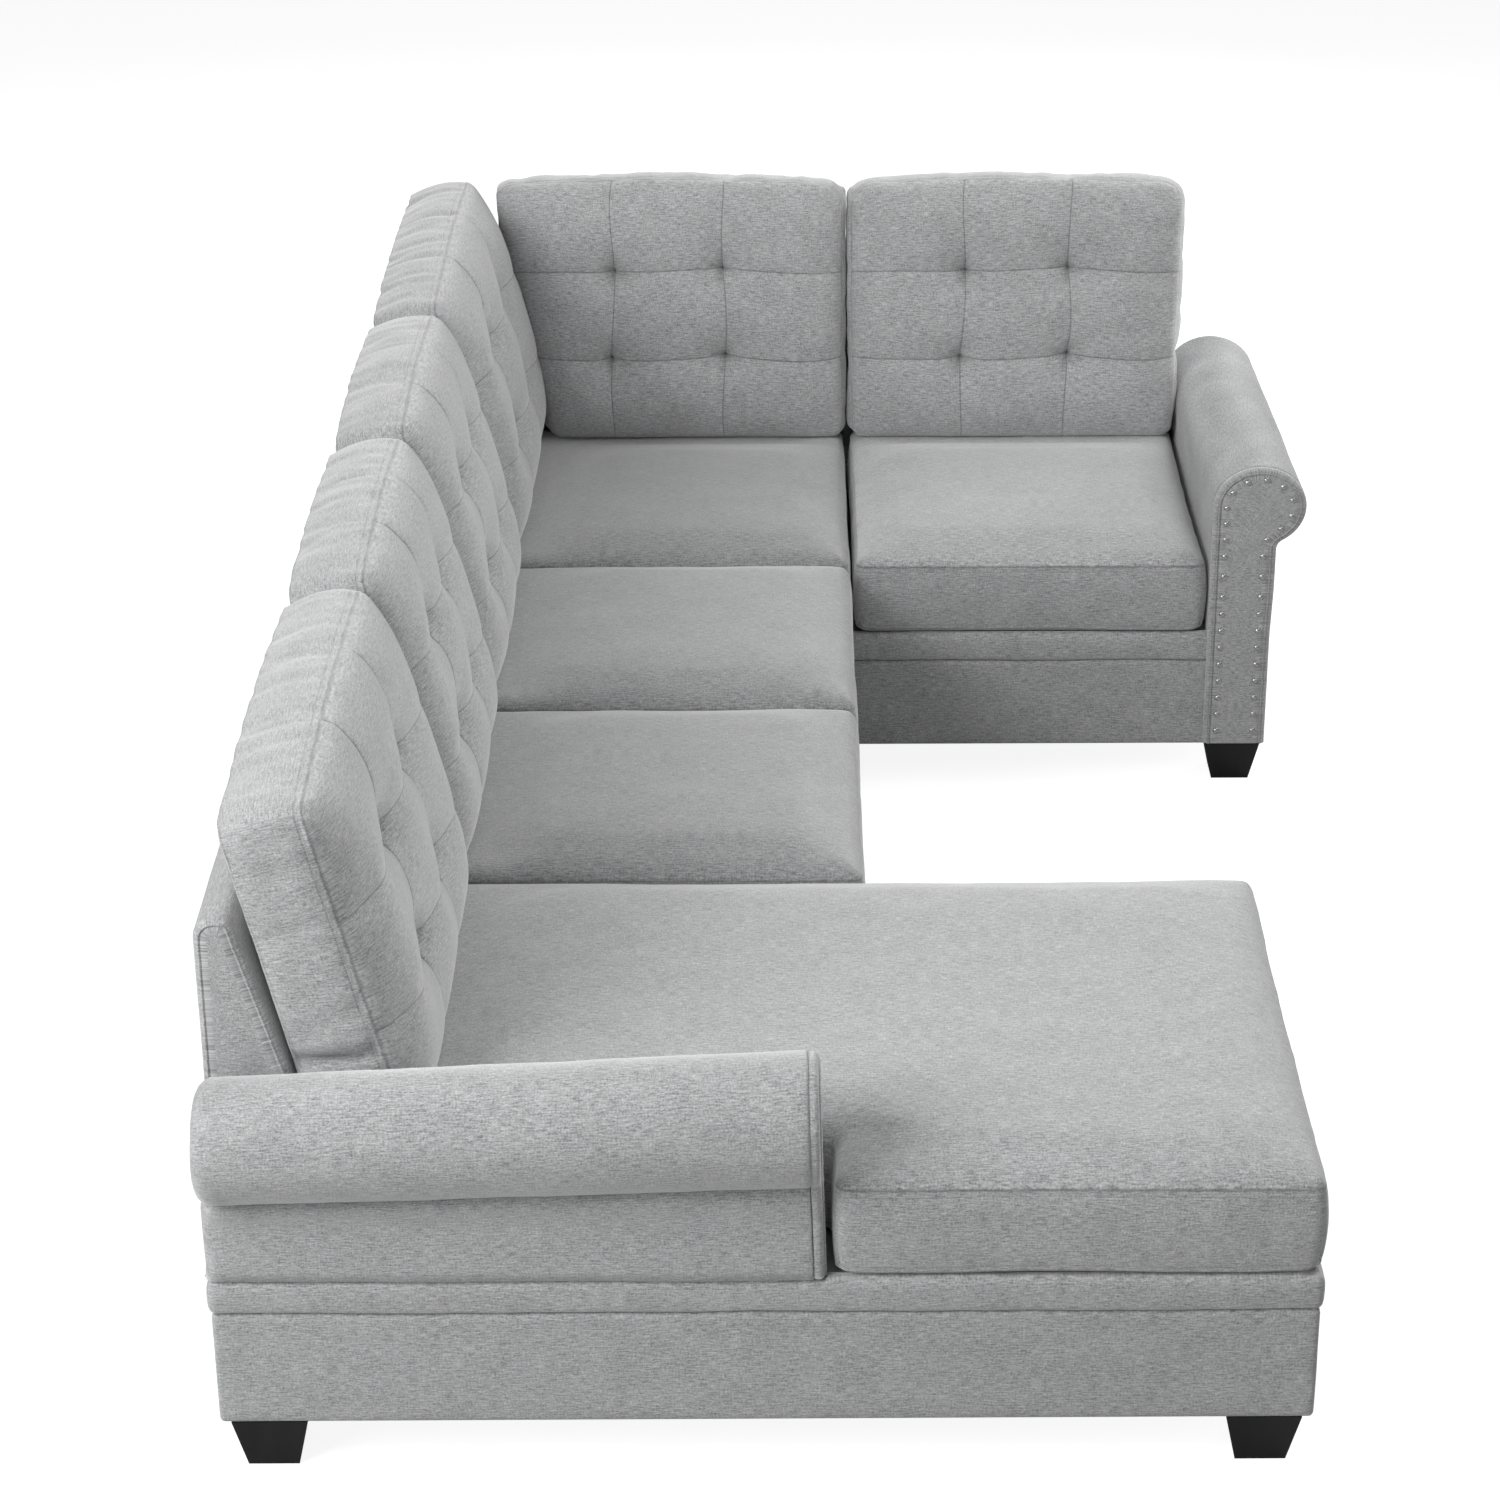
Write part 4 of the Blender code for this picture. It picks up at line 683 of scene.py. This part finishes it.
def base_cover(node):
    """The upholstered ring of a base: plain lower panel, sewn line and padded rail band."""
    low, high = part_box(node)
    radius = 0.014
    corners = []
    for start, x, y in (
        (0, high.x - radius, high.y - radius), (90, low.x + radius, high.y - radius),
        (180, low.x + radius, low.y + radius), (270, high.x - radius, low.y + radius),
    ):
        for step in range(5):
            angle = math.radians(start + 90 * step / 4)
            turn = np.array((math.cos(angle), math.sin(angle)))
            corners.append((np.array((x, y)) + radius * turn, turn))
    path, normals = [], []
    for (a, from_turn), (b, to_turn) in zip(corners, corners[1:] + corners[:1]):
        pieces = max(1, round(np.linalg.norm(b - a) / 0.016))
        for share in np.arange(pieces) / pieces:
            path.append(a + (b - a) * share)
            normals.append(from_turn + (to_turn - from_turn) * share)
    path, normals = np.array(path), np.array(normals)
    bottom, line, top, wall = BASE_BOTTOM, BASE_SEAM, BASE_TOP, COVER_THICKNESS
    rows = [(bottom + 0.0006, wall), (bottom + 0.0002, 0.010), (bottom + 0.001, 0.0062),
            (bottom + 0.005, 0.0045)]
    rows += [(z, 0.0042) for z in np.linspace(bottom + 0.015, line - 0.016, 12)]
    rows += [(line - 0.010, 0.0040), (line - 0.005, 0.0050), (line - 0.0025, 0.0068),
             (line, 0.0098), (line + 0.0018, 0.0056), (line + 0.004, 0.0028),
             (line + 0.008, 0.0012), (line + 0.016, 0.0002), (line + 0.028, 0.0),
             (line + 0.040, 0.0004), (line + 0.047, 0.0016), (line + 0.052, 0.0042),
             (top - 0.0012, 0.0085), (top - 0.0003, 0.013), (top - 0.0003, wall)]
    seed = len(node)
    ring = np.column_stack([path, np.zeros(len(path))])
    wave = 0.0028 * wobble(ring, 6.0, seed) + 0.0012 * wobble(ring, 20.0, seed + 2)
    verts, seam = [], []
    for z, inset in rows:
        near_line = math.exp(-(((z - line) / 0.02) ** 2))
        share = (z - line) / (top - line) if z > line else (z - bottom) / (line - bottom)
        puff = math.sin(math.pi * min(max(share, 0), 1)) * (1.3 if z > line else 0.9)
        level = np.column_stack([path, np.full(len(path), 0.6 * z)])
        swell = 0.0011 * wobble(level, 12.0, seed + 3) + 0.0006 * wobble(level, 34.0, seed + 4)
        flat = path - normals * (inset + 0.001 - puff * swell)[:, None]
        if inset == wall:
            inner = np.array((low.x, low.y)) + wall, np.array((high.x, high.y)) - wall
            flat = np.clip(path, *inner)
        moves = bottom + 0.01 < z < top - 0.002
        verts.append(np.column_stack([flat, z + wave * near_line * moves]))
        seam += [abs(z - line)] * len(path)
    faces, uvs = bands([z for z, _ in rows], path, wrap=True)
    uvs = [(along, z) for z, along in uvs]
    return new_piece(node + "_cloth", np.concatenate(verts), faces, uvs, seam)


def arm_outline(foot, crease, fillet, top_rise):
    """Section of an arm: X outwards from the seat side, Y up from the base's top."""
    centre = (ARM_WIDTH + ROLL_OVERHANG - ROLL_RADIUS, top_rise - ROLL_RADIUS)
    if fillet:
        hollow_x = ARM_WIDTH + fillet
        drop = math.sqrt((ROLL_RADIUS + fillet) ** 2 - (hollow_x - centre[0]) ** 2)
        hollow = (hollow_x, centre[1] - drop)
        neck = math.atan2(-drop, hollow_x - centre[0])
        roll = arc(centre, ROLL_RADIUS, math.pi, neck, 40)
        under = arc(hollow, fillet, neck + math.pi, math.pi, 8)[1:]
    else:
        neck = -math.acos((ARM_WIDTH - crease - centre[0]) / ROLL_RADIUS)
        roll = arc(centre, ROLL_RADIUS, math.pi, neck, 40)
        low_point = roll[-1][1]
        under = [(ARM_WIDTH - crease, low_point - 0.004),
                 (ARM_WIDTH - crease / 3, low_point - 0.011), (ARM_WIDTH, low_point - 0.024)]
    points = [(0, foot), (0, centre[1]), *roll[1:], *under, (ARM_WIDTH, foot)]
    return refine(anticlockwise(points), 0.016)


def roll_height(b, share, section):
    """Height on an arm, at a share of its length, where the roll falls towards the back."""
    middle = (ROLL_TOP_RISE[section] - ROLL_RADIUS) / 2
    blend = min(max((b - middle * 0.6) / (middle * 0.8), 0), 1)
    blend *= blend * (3 - 2 * blend)
    rear, front = ROLL_GROWTH[section]
    growth = (rear + (front - rear) * share) * (ROLL_TOP_RISE[section] - b)
    return b - blend * (ROLL_FALL[section] * (1 - share) + growth)


def nailheads(name, outline, place, face, inset, spacing, lowest, rise):
    """Domed nailheads in a row inside the edge of an arm's front panel."""
    path = outline - outline_normals(outline) * inset
    above = path[:, 1] > lowest
    start = next(k for k in range(len(path)) if above[k] and not above[k - 1])
    walk = np.array([path[(start + k) % len(path)] for k in range(above.sum())])
    length = run_along(walk)
    radius, sides, levels, margin = 0.0064, 14, 4, 0.004
    verts, faces = [], []
    for t in np.linspace(margin, length[-1] - margin, round(length[-1] / spacing)):
        a, b = np.interp(t, length, walk[:, 0]), np.interp(t, length, walk[:, 1])
        base = len(verts)
        last, tip = base + (levels - 1) * sides, base + levels * sides
        for level in range(levels):
            lift = math.pi / 2 * level / levels
            rim = arc((a, b), radius * math.cos(lift), 0, 2 * math.pi, sides)[:-1]
            verts += [place(*spot, face + rise * math.sin(lift)) for spot in rim]
        verts.append(place(a, b, face + rise))
        for k in range(sides):
            n = (k + 1) % sides
            for low in range(base, last, sides):
                faces.append([low + k, low + n, low + sides + n, low + sides + k])
            faces.append([last + k, last + n, tip])
        faces.append([base + k for k in reversed(range(sides))])
    return new_piece(name, verts, faces, [(0, 0) for face in faces for _ in face])


# Upholstered frames: bases, backs and arms, as (piece, body, node)
covers = [
    (base_cover(f"{section}_base_cover"), section, f"{section}_base_cover")
    for section in ("chaise", "middle", "return")
]


def upholstered_back(node, section, along_y=False, mitred=False):
    """A back in the box of its part, mitred where the two backs of the return meet."""
    low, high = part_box(node)
    length = high.y - low.y if along_y else high.x - low.x

    def place(a, b, t):
        share = (length - a) / length if mitred else 1
        if along_y:
            return (high.x - a, low.y + t * share, SEAT_LEVEL + b)
        return (low.x + t * share, REAR_Y - a, SEAT_LEVEL + b)

    rings, off_welt = end_rings(length, 0.03)
    obj = skin(node + "_cloth", back_outline(), rings, place, off_welt, seed=len(node))
    covers.append((obj, section, node))


upholstered_back("chaise_back_cover", "chaise")
upholstered_back("middle_back_cover", "middle")
upholstered_back("return_side_back_cover", "return", mitred=True)
upholstered_back("return_far_back_cover", "return", along_y=True, mitred=True)


def chaise_arm_place(a, b, t):
    """A place on the chaise's arm: stations run forwards from the rear."""
    share = t / CHAISE_ARM_LENGTH
    lean = 0.009 * share ** 4 * b / ROLL_TOP_RISE["chaise"]
    height = SEAT_LEVEL + roll_height(b, share, "chaise")
    return (CHAISE_X + ARM_WIDTH - a, REAR_Y - t + lean, height)


def return_arm_place(a, b, t):
    """A place on the return's arm: stations run from the rear towards the open side of the U."""
    seat_side = REAR_Y - SEAT_DEPTH - END_SEAT_WIDTH
    share = t / RETURN_DEPTH
    a *= 1 + (0.03 + 0.05 * (1 - share)) * min(max(b / 0.1, 0), 1)
    height = SEAT_LEVEL + roll_height(b, share, "return")
    return (RETURN_X + RETURN_DEPTH - t, seat_side - a, height)


def arm(section, place, panel_at, foot, nails_from, seed, panel_inset=0.0, nail_rise=0.0044):
    """An arm's cover, its front panel with a welt, and the nailheads on the panel."""
    end, top_rise = panel_at - GAP, ROLL_TOP_RISE[section]
    rings = [(0.0, 0.034), (0.0, 0.024), (0.0015, 0.016), (0.005, 0.009), (0.011, 0.0035),
             (0.019, 0.0)]
    rings += [(t, 0.0) for t in lines(0.034, end - 0.012, 0.02)]
    rings += [(end - 0.003, 0.0), (end - 0.001, 0.0008), (end, 0.002), (end, 0.006)]
    crease_depth = 0.010
    section_line = arm_outline(0.0, crease_depth, 0.0, top_rise)
    under = section_line[np.abs(section_line[:, 0] - (ARM_WIDTH - crease_depth)) < EPS]
    cover = skin(f"{section}_arm_cover_cloth", section_line, rings, place, ripple=0.0017,
                 seed=seed, crease=under[under[:, 1].argmax()])
    # Painted shade: the return's arm cover is darkened all over, unevenly.
    if section == "return":
        spots = np.array([v.co for v in cover.data.vertices])
        shade(cover, 0.14 + 0.22 * wobble(spots * (0.5, 1.0, 1.0), 20.0, seed))
    covers.append((cover, section, f"{section}_arm_cover"))
    face = panel_at + PANEL_THICKNESS
    profile = [(panel_at, 0.005), (panel_at, 0.002), (panel_at + 0.001, 0.0008),
               (panel_at + 0.004, 0.0), (face - 0.008, 0.0), (face - 0.005, 0.0010),
               (face - 0.0026, 0.0034), (face - 0.0012, 0.0060), (face - 0.0018, 0.0080),
               (face + 0.0006, 0.0090), (face + 0.0018, 0.0106), (face + 0.0006, 0.0122),
               (face - 0.0020, 0.0134), (face - 0.0010, 0.0150), (face, 0.0185), (face, 0.022),
               (face, 0.024)]
    profile = [(t, inset + panel_inset) for t, inset in profile]
    off_welt = {8: 0.0, 9: 0.0015, 10: 0.0015, 11: 0.0015, 12: 0.0}
    outline = arm_outline(foot - 0.04, 0.0, 0.024, top_rise)
    panel = skin(f"{section}_arm_front_panel_cloth", outline, profile, place,
                 lambda ring: off_welt.get(ring, FAR_FROM_SEAM), ripple=0.0, seed=seed + 5,
                 foot=foot)
    covers.append((panel, section, f"{section}_arm_front_panel"))
    return nailheads(f"{section}_arm_nailheads", outline, place, face, 0.0245 + panel_inset,
                     0.0345, nails_from, nail_rise)


nails = {
    "chaise": arm("chaise", chaise_arm_place, CHAISE_ARM_LENGTH - PANEL_THICKNESS, foot=0.0,
                  nails_from=0.022, seed=11, panel_inset=0.002, nail_rise=0.0022),
    "return": arm("return", return_arm_place, RETURN_DEPTH + GAP, foot=-0.2250,
                  nails_from=-0.210, seed=23),
}

# Loose cushions
chaise_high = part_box("chaise_seat_cushion")[1]
notch = (0.121, chaise_high.y - (REAR_Y - CHAISE_ARM_LENGTH - ARM_CLEARANCE))
# Seats: the middle ones and the corner one are darkened with painted shade.
seats = {node: seat_cushion(node, **shape) for node, shape in (
    ("chaise_seat_cushion", {"notch": notch}),
    ("middle_seat_cushion_1", {"painted_shade": 0.24}),
    ("middle_seat_cushion_2", {"painted_shade": 0.24}),
    ("corner_seat_cushion", {"rest_right": SEAT_STRIP, "painted_shade": 0.28}),
    ("end_seat_cushion", {"turn": True}),
)}
back_y = REAR_Y - CUSHION_BACK
back_x = RETURN_X + RETURN_DEPTH - CUSHION_BACK
side_gap = 0.0015
corner_y = REAR_Y + CORNER_SLANT - CORNER_NEAR
backs = {node: back_cushion(node, (*spot, REST_Z), width, **shape) for node, spot, width, shape in (
    ("chaise_back_cushion", (CHAISE_X + 0.123, back_y), 0.8047,
     {"tuck": 0.034, "crease_at": 0.122}),
    ("middle_back_cushion_1", (MIDDLE_X + side_gap, back_y), 0.657, {}),
    ("middle_back_cushion_2", (MIDDLE_X + 0.6615, back_y), 0.6562, {}),
    ("corner_side_back_cushion", (RETURN_X + side_gap, back_y),
     RETURN_DEPTH - CUSHION_BACK - side_gap, {"flare": CORNER_FLARE}),
    ("corner_far_back_cushion", (back_x, corner_y),
     SEAT_DEPTH - side_gap - CORNER_NEAR + CORNER_SLANT,
     {"far": True, "slant": CORNER_SLANT, "press": 0.024, "corner": 0.045, "tuck": 0.0,
      "swell": (0.0, 0.006)}),
    ("end_back_cushion", (back_x, REAR_Y - SEAT_DEPTH - side_gap), 0.681,
     {"far": True, "flare": END_FLARE, "corner": 0.048, "swell": (0.006, 0.0)}),
)}
fill_cushions()
finish_cushions()


# Materials
def set_inputs(node, values):
    """Set sockets of a node by name."""
    for key, value in values.items():
        node.inputs[key].default_value = value


class Graph:
    """Short ways to add and join a material's nodes."""

    def __init__(self, node_tree):
        self.tree = node_tree

    def add(self, kind, **values):
        node = self.tree.nodes.new(kind)
        for key, value in values.items():
            setattr(node, key, value)
        return node

    def join(self, source, target):
        self.tree.links.new(source, target)

    def noise(self, source, scale, detail=2.0, rough=0.5):
        stretch = self.add("ShaderNodeMapping")
        set_inputs(stretch, {"Scale": scale})
        self.join(source, stretch.inputs["Vector"])
        node = self.add("ShaderNodeTexNoise")
        set_inputs(node, {"Scale": 1.0, "Detail": detail, "Roughness": rough})
        self.join(stretch.outputs["Vector"], node.inputs["Vector"])
        return node.outputs["Fac"]

    def span(self, source, low, high, to_low=0.0, to_high=1.0):
        node = self.add("ShaderNodeMapRange")
        set_inputs(node, {"From Min": low, "From Max": high, "To Min": to_low, "To Max": to_high})
        self.join(source, node.inputs["Value"])
        return node.outputs["Result"]

    def math(self, operation, first, second):
        node = self.add("ShaderNodeMath", operation=operation)
        for socket, value in zip(node.inputs, (first, second)):
            if isinstance(value, (int, float)):
                socket.default_value = value
            else:
                self.join(value, socket)
        return node.outputs[0]

    def blend(self, *parts):
        """Sum of sources, each times its weight."""
        total = None
        for source, weight in parts:
            share = self.math("MULTIPLY", source, weight)
            total = share if total is None else self.math("ADD", total, share)
        return total

    def mix(self, share, first, second):
        node = self.add("ShaderNodeMix", data_type="RGBA")
        self.join(share, node.inputs["Factor"])
        for socket, value in ((node.inputs[6], first), (node.inputs[7], second)):
            if isinstance(value, tuple):
                socket.default_value = (*value, 1.0)
            else:
                self.join(value, socket)
        return node.outputs[2]

    def bump(self, height, distance, strength, normal=None):
        node = self.add("ShaderNodeBump")
        set_inputs(node, {"Distance": distance, "Strength": strength})
        self.join(height, node.inputs["Height"])
        if normal:
            self.join(normal, node.inputs["Normal"])
        return node.outputs["Normal"]


def new_finish(name):
    """A new material, its node graph and its main shader."""
    made = bpy.data.materials.new(name + "_looks")
    made.use_nodes = True
    return made, Graph(made.node_tree), made.node_tree.nodes["Principled BSDF"]


def chenille(name, dark, pale, sheen=1.0):
    """Heathered chenille: slubs along the weft, fine pile, brushed patches, sewn lines and painted
    shade.
    """
    made, g, shader = new_finish(name)
    coords = g.add("ShaderNodeUVMap", uv_map="cloth").outputs["UV"]
    slub = g.noise(coords, (62.0, 430.0, 1.0), 2.0, 0.6)
    warp = g.noise(coords, (400.0, 110.0, 1.0), 1.0, 0.5)
    pile = g.noise(coords, (320.0, 460.0, 1.0), 2.0, 0.6)
    patch = g.noise(coords, (16.0, 26.0, 1.0), 3.0, 0.6)
    heather = g.blend(
        (g.span(slub, 0.32, 0.68), 0.40), (g.span(pile, 0.32, 0.68), 0.36),
        (g.span(warp, 0.30, 0.70), 0.16), (g.span(patch, 0.36, 0.64), 0.08),
    )
    colour = g.mix(g.span(heather, 0.18, 0.84), dark, pale)
    seam = g.add("ShaderNodeAttribute", attribute_name="seam_distance").outputs["Fac"]
    stitch = g.add("ShaderNodeAttribute", attribute_name="stitch_distance").outputs["Fac"]
    line = g.math("MAXIMUM", g.span(seam, 0.0005, 0.0022, 0.42, 0.0),
                  g.span(stitch, 0.0002, 0.0013, 0.22, 0.0))
    # Painted shade from the shade attribute, on top of the dark seam and stitch lines.
    shaded = g.add("ShaderNodeAttribute", attribute_name="shade").outputs["Fac"]
    darkening = g.math("MAXIMUM", line, g.math("MULTIPLY", shaded, 0.85))
    colour = g.mix(darkening, colour, tuple(0.2 * c for c in dark))
    g.join(colour, shader.inputs["Base Color"])
    height = g.blend((slub, 0.55), (pile, 0.45), (warp, 0.20))
    normal = g.bump(height, 0.0013, 0.8)
    groove = g.math("MINIMUM", g.span(seam, 0.0, 0.0028), g.span(stitch, 0.0, 0.0020, 0.55, 1.0))
    normal = g.bump(groove, 0.0012, 0.7, normal)
    g.join(normal, shader.inputs["Normal"])
    g.join(g.span(patch, 0.3, 0.7, 0.84, 0.96), shader.inputs["Roughness"])
    set_inputs(shader, {"Sheen Weight": sheen, "Sheen Roughness": 0.5, "Specular IOR Level": 0.2})
    return made


def plain(name, dark, pale, rough, metallic=0.0, scale=(60.0,) * 3, bump=0.0003, spread=0.1):
    """A finish with fine variation in colour, gloss and surface."""
    made, g, shader = new_finish(name)
    coords = g.add("ShaderNodeTexCoord").outputs["Object"]
    fine = g.noise(coords, scale, 5.0, 0.6)
    g.join(g.mix(g.span(fine, 0.3, 0.7), dark, pale), shader.inputs["Base Color"])
    g.join(g.span(fine, 0.3, 0.7, rough - spread, rough + spread), shader.inputs["Roughness"])
    g.join(g.bump(fine, bump, 0.5), shader.inputs["Normal"])
    set_inputs(shader, {"Metallic": metallic})
    return made


FABRIC = chenille("grey_chenille", (0.22, 0.222, 0.227), (0.66, 0.663, 0.67))
# A darker copy of the chenille with less sheen: painted shade for the return's arm cover.
FABRIC_PAINTED_SHADE = chenille("grey_chenille_painted_shade", (0.21, 0.212, 0.217), (0.63, 0.633, 0.64), 0.5)
NAIL = plain("nailhead", (0.46, 0.45, 0.43), (0.70, 0.69, 0.66), 0.26, 0.7,
             (300.0,) * 3, 0.0001, 0.06)
FINISHES = {
    "grey_chenille": FABRIC,
    "black_leg": plain("black_leg", (0.006, 0.006, 0.007), (0.013, 0.013, 0.013), 0.36,
                       scale=(35.0, 35.0, 6.0)),
    "pine": plain("pine", (0.42, 0.27, 0.14), (0.68, 0.50, 0.31), 0.7, scale=(9.0, 70.0, 70.0)),
    "spring_steel": plain("spring_steel", (0.20, 0.20, 0.21), (0.36, 0.36, 0.37), 0.35, 1.0),
    "zinc_plate": plain("zinc_plate", (0.50, 0.51, 0.53), (0.68, 0.69, 0.71), 0.33, 1.0,
                        (140.0,) * 3),
    "deck_cloth": plain("deck_cloth", (0.26, 0.26, 0.27), (0.40, 0.40, 0.41), 0.93,
                        scale=(900.0,) * 3),
    "dust_cloth": plain("dust_cloth", (0.012, 0.012, 0.012), (0.03, 0.03, 0.03), 0.92,
                        scale=(500.0,) * 3),
}
SLOT_OF = {part["node"]: part["material_slot"] for part in frame["record"]["subparts"]}
for node, obj in frame["nodes"].items():
    for material_slot in obj.material_slots:
        material_slot.material = FINISHES[SLOT_OF[node]]
    if "_leg_" in node:
        worn = obj.modifiers.new("worn_edges", "BEVEL")
        worn.width = 0.0018
        worn.segments = 2
        worn.limit_method = "ANGLE"

for obj, body, node in covers:
    # The return's arm cover takes the darker painted-shade copy of the chenille.
    obj.data.materials.append(FABRIC_PAINTED_SHADE if node == "return_arm_cover" else FABRIC)
    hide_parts(node)
    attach(obj, body)
for body, obj in nails.items():
    obj.data.materials.append(NAIL)
    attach(obj, body)
for node, obj in {**seats, **backs}.items():
    obj.data.materials.append(FABRIC)
    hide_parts(node)
    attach(obj, node)

# Floor, light and camera
floor_mesh = bpy.data.meshes.new("floor")
floor_corners = [
    (x * FLOOR_REACH, y * FLOOR_REACH, 0) for x, y in ((-1, -1), (1, -1), (1, 1), (-1, 1))
]
floor_mesh.from_pydata(floor_corners, [], [(0, 1, 2, 3)])
floor = bpy.data.objects.new("floor", floor_mesh)
SCENE.collection.objects.link(floor)
floor_look, fg, floor_shader = new_finish("floor")
set_inputs(floor_shader, {
    "Base Color": (0.40, 0.40, 0.40, 1.0), "Roughness": 1.0, "Specular IOR Level": 0.0,
})
seen = fg.add("ShaderNodeLightPath")
glow = fg.add("ShaderNodeEmission")
glowing = fg.math("MULTIPLY", seen.outputs["Is Camera Ray"], FLOOR_GLOW)
fg.join(glowing, glow.inputs["Strength"])
both = fg.add("ShaderNodeAddShader")
fg.join(floor_shader.outputs["BSDF"], both.inputs[0])
fg.join(glow.outputs["Emission"], both.inputs[1])
fg.join(both.outputs["Shader"], fg.tree.nodes["Material Output"].inputs["Surface"])
floor_mesh.materials.append(floor_look)

world = bpy.data.worlds.new("studio")
SCENE.world = world
world.use_nodes = True
wg = Graph(world.node_tree)
room = world.node_tree.nodes["Background"]
set_inputs(room, {"Color": (1.0, 1.0, 1.0, 1.0), "Strength": ROOM_LIGHT})
white = wg.add("ShaderNodeBackground")
path_kind = wg.add("ShaderNodeLightPath")
choose = wg.add("ShaderNodeMixShader")
wg.join(path_kind.outputs["Is Camera Ray"], choose.inputs[0])
wg.join(room.outputs["Background"], choose.inputs[1])
wg.join(white.outputs["Background"], choose.inputs[2])
wg.join(choose.outputs["Shader"], world.node_tree.nodes["World Output"].inputs["Surface"])


def direction(turn, rise):
    """The direction at a turn from +X and a rise above level, in radians."""
    level = math.cos(rise)
    return Vector((level * math.cos(turn), level * math.sin(turn), math.sin(rise)))


def lamp(turn, rise, power):
    """A soft square lamp at a turn and a rise in degrees, aimed at the middle of the sofa."""
    away = direction(math.radians(turn), math.radians(rise))
    data = bpy.data.lights.new(f"lamp_{turn}_{rise}", "AREA")
    data.shape = "SQUARE"
    data.size = LOW_LAMP_SIDE if rise < 20 else LAMP_SIDE
    data.energy = power
    made = bpy.data.objects.new(data.name, data)
    made.location = Vector(LAMP_TARGET) + away * LAMP_DISTANCE
    made.rotation_euler = away.to_track_quat("Z", "Y").to_euler()
    SCENE.collection.objects.link(made)


for turn, rise, power in LAMPS:
    lamp(turn, rise, power)

camera_data = bpy.data.cameras.new("camera")
camera = bpy.data.objects.new("camera", camera_data)
SCENE.collection.objects.link(camera)
camera_data.sensor_width = SENSOR
camera_data.lens = FOCAL_PIXELS / PHOTO_SIDE * SENSOR
camera_data.shift_x = (PHOTO_SIDE / 2 - CENTRE_PIXEL[0]) / PHOTO_SIDE
camera_data.shift_y = (CENTRE_PIXEL[1] - PHOTO_SIDE / 2) / PHOTO_SIDE
forward = direction(CAMERA_YAW, -CAMERA_PITCH)
level = Vector((math.sin(CAMERA_YAW), -math.cos(CAMERA_YAW), 0.0))
upward = level.cross(forward)
right = math.cos(CAMERA_ROLL) * level + math.sin(CAMERA_ROLL) * upward
upward = right.cross(forward)
camera.matrix_world = Matrix.Translation(CAMERA_PLACE) @ Matrix(
    (right, upward, -forward)
).transposed().to_4x4()
SCENE.camera = camera
SCENE.view_settings.view_transform = "Standard"
